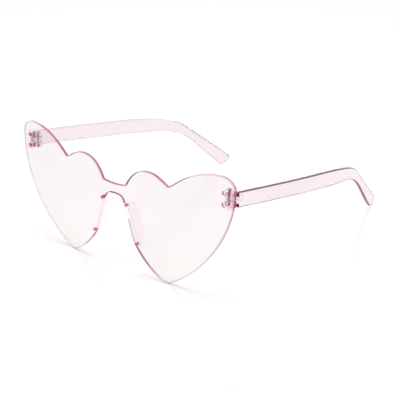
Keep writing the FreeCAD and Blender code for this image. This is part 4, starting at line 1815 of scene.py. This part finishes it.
@dataclass
class Studio:
    """A white floor, soft light and the camera.

    Attributes:
        azimuth: Camera's turn about Z from the front, degrees.
        elevation: Camera's height angle, degrees.
        roll: Camera's roll, degrees.
        eye: Camera's place, metres.
        focal: Focal length in picture widths.
        sensor: Width of the camera's sensor, mm.
        clip: Nearest and farthest distance that the camera sees, metres.
        ambient: Brightness of the surrounding light.
        lamp: Power of the soft lamp, watts.
        lamp_size: Side of the lamp, metres.
        lamp_place: Middle of the lamp, metres.
        floor_reach: Half the side of the floor, metres.
        floor_tones: Its two tones.
        floor_scale: Size of the clouds of those tones, as repeats per metre.
        floor_polish: Its roughness.
        floor_glow: Light that it adds where it is seen plainly.
    """

    azimuth: float = 40.4031
    elevation: float = 21.9869
    roll: float = -0.2773
    eye: Triple = (0.3734817, -0.4513334, 0.2484107)
    focal: float = 1125.4836 / 400
    sensor: float = 36.0
    clip: Pair = (0.01, 50.0)
    ambient: float = 0.6
    lamp: float = 6.0
    lamp_size: float = 0.5
    lamp_place: Triple = (0.0, -0.06, 1.3)
    floor_reach: float = 4.0
    floor_tones: tuple[Colour, Colour] = ((0.985, 0.985, 0.985), (0.97, 0.97, 0.97))
    floor_scale: float = 6.0
    floor_polish: float = 0.12
    floor_glow: float = 0.12

    def camera(self) -> None:
        """Set up the camera at the photograph's angle."""
        turn, rise, roll = (math.radians(angle) for angle in (self.azimuth, self.elevation, self.roll))
        back = Vector((math.sin(turn) * math.cos(rise), -math.cos(turn) * math.cos(rise), math.sin(rise)))
        level = Vector((math.cos(turn), math.sin(turn), 0.0))
        up = back.cross(level)
        right = level * math.cos(roll) + up * math.sin(roll)
        top = up * math.cos(roll) - level * math.sin(roll)
        lens = bpy.data.cameras.new("camera")
        lens.sensor_width = self.sensor
        lens.lens = lens.sensor_width * self.focal
        lens.clip_start, lens.clip_end = self.clip
        camera = bpy.data.objects.new("camera", lens)
        camera.matrix_world = Matrix.Translation(self.eye) @ Matrix((right, top, back)).transposed().to_4x4()
        bpy.context.scene.collection.objects.link(camera)
        bpy.context.scene.camera = camera

    @staticmethod
    def seen_plainly(desk: NodeDesk) -> bpy.types.NodeSocket:
        """Tell rays from the camera, a reflection or through glass from the rest.

        Args:
            desk: Desk on the tree that asks.

        Returns:
            A socket that is 1 for those rays, else 0.
        """
        path = desk.add("ShaderNodeLightPath")
        direct = desk.maths("MAXIMUM", path.outputs["Is Camera Ray"], path.outputs["Is Glossy Ray"])
        return desk.maths("MAXIMUM", direct, path.outputs["Is Transmission Ray"])

    def light(self) -> None:
        """Set up the surrounding light and one soft lamp."""
        world = bpy.data.worlds.new("studio")
        world.use_nodes = True
        desk = NodeDesk(world.node_tree)
        strength = desk.add("ShaderNodeMapRange", {"Value": self.seen_plainly(desk), "To Min": self.ambient})
        desk.feed(world.node_tree.nodes["Background"], {"Color": (1.0, 1.0, 1.0, 1.0),
                                                        "Strength": strength.outputs[0]})
        bpy.context.scene.world = world
        softbox = bpy.data.lights.new("softbox", "AREA")
        softbox.size = self.lamp_size
        softbox.energy = self.lamp
        lamp = bpy.data.objects.new("softbox", softbox)
        lamp.location = self.lamp_place
        lamp.rotation_euler = (-lamp.location).to_track_quat("-Z", "Y").to_euler()
        bpy.context.scene.collection.objects.link(lamp)

    def floor(self) -> None:
        """Lay a white, slightly glossy floor that keeps the shadow."""
        far = self.floor_reach
        mesh = bpy.data.meshes.new("floor")
        mesh.from_pydata([(-far, -far, 0.0), (far, -far, 0.0), (far, far, 0.0), (-far, far, 0.0)], [],
                         [(0, 1, 2, 3)])
        material, desk, shader = new_material("white_floor")
        place = desk.add("ShaderNodeTexCoord")
        tone = desk.add("ShaderNodeTexNoise", {"Vector": place.outputs["Object"], "Scale": self.floor_scale,
                                               "Detail": 2.0})
        desk.feed(shader, {"Base Color": desk.blend(tone.outputs[0], *self.floor_tones),
                           "Roughness": self.floor_polish})
        strength = desk.maths("MULTIPLY", self.seen_plainly(desk), self.floor_glow)
        glow = desk.add("ShaderNodeEmission", {"Strength": strength})
        lit = desk.add("ShaderNodeAddShader", {0: shader.outputs[0], 1: glow.outputs[0]})
        desk.feed(desk.tree.nodes["Material Output"], {"Surface": lit.outputs[0]})
        mesh.materials.append(material)
        plane = bpy.data.objects.new("floor", mesh)
        bpy.context.scene.collection.objects.link(plane)

    def build(self) -> None:
        """Set up the whole studio."""
        bpy.context.scene.view_settings.view_transform = "Standard"
        self.camera()
        self.light()
        self.floor()


def main() -> None:
    """Build the glasses piece by piece and set up the studio."""
    sheet = CurvedSheet()
    hinge = Hinge(sheet)
    pad = NosePad(sheet)
    fold = next(joint for joint in frame["joints"] if joint["name"] == "left_temple_fold")
    shelf = PieceShelf(Stand.through(fold, hinge.middle()))
    finishes = Finishes()
    holes = [(at, part.peg_radius + part.peg_clearance) for part in (hinge, pad) for at in part.pegs()]
    HeartFront(sheet).build(shelf, finishes, holes)
    for side in Side:
        hinge.build(shelf, finishes, side)
        HingeScrew().build(finishes, side)
        FoldingArm(hinge).build(shelf, finishes, side)
        pad.build(shelf, finishes, side)
    Studio().build()


if __name__ == "__main__":
    logging.basicConfig(level=logging.INFO, format="%(message)s")
    main()
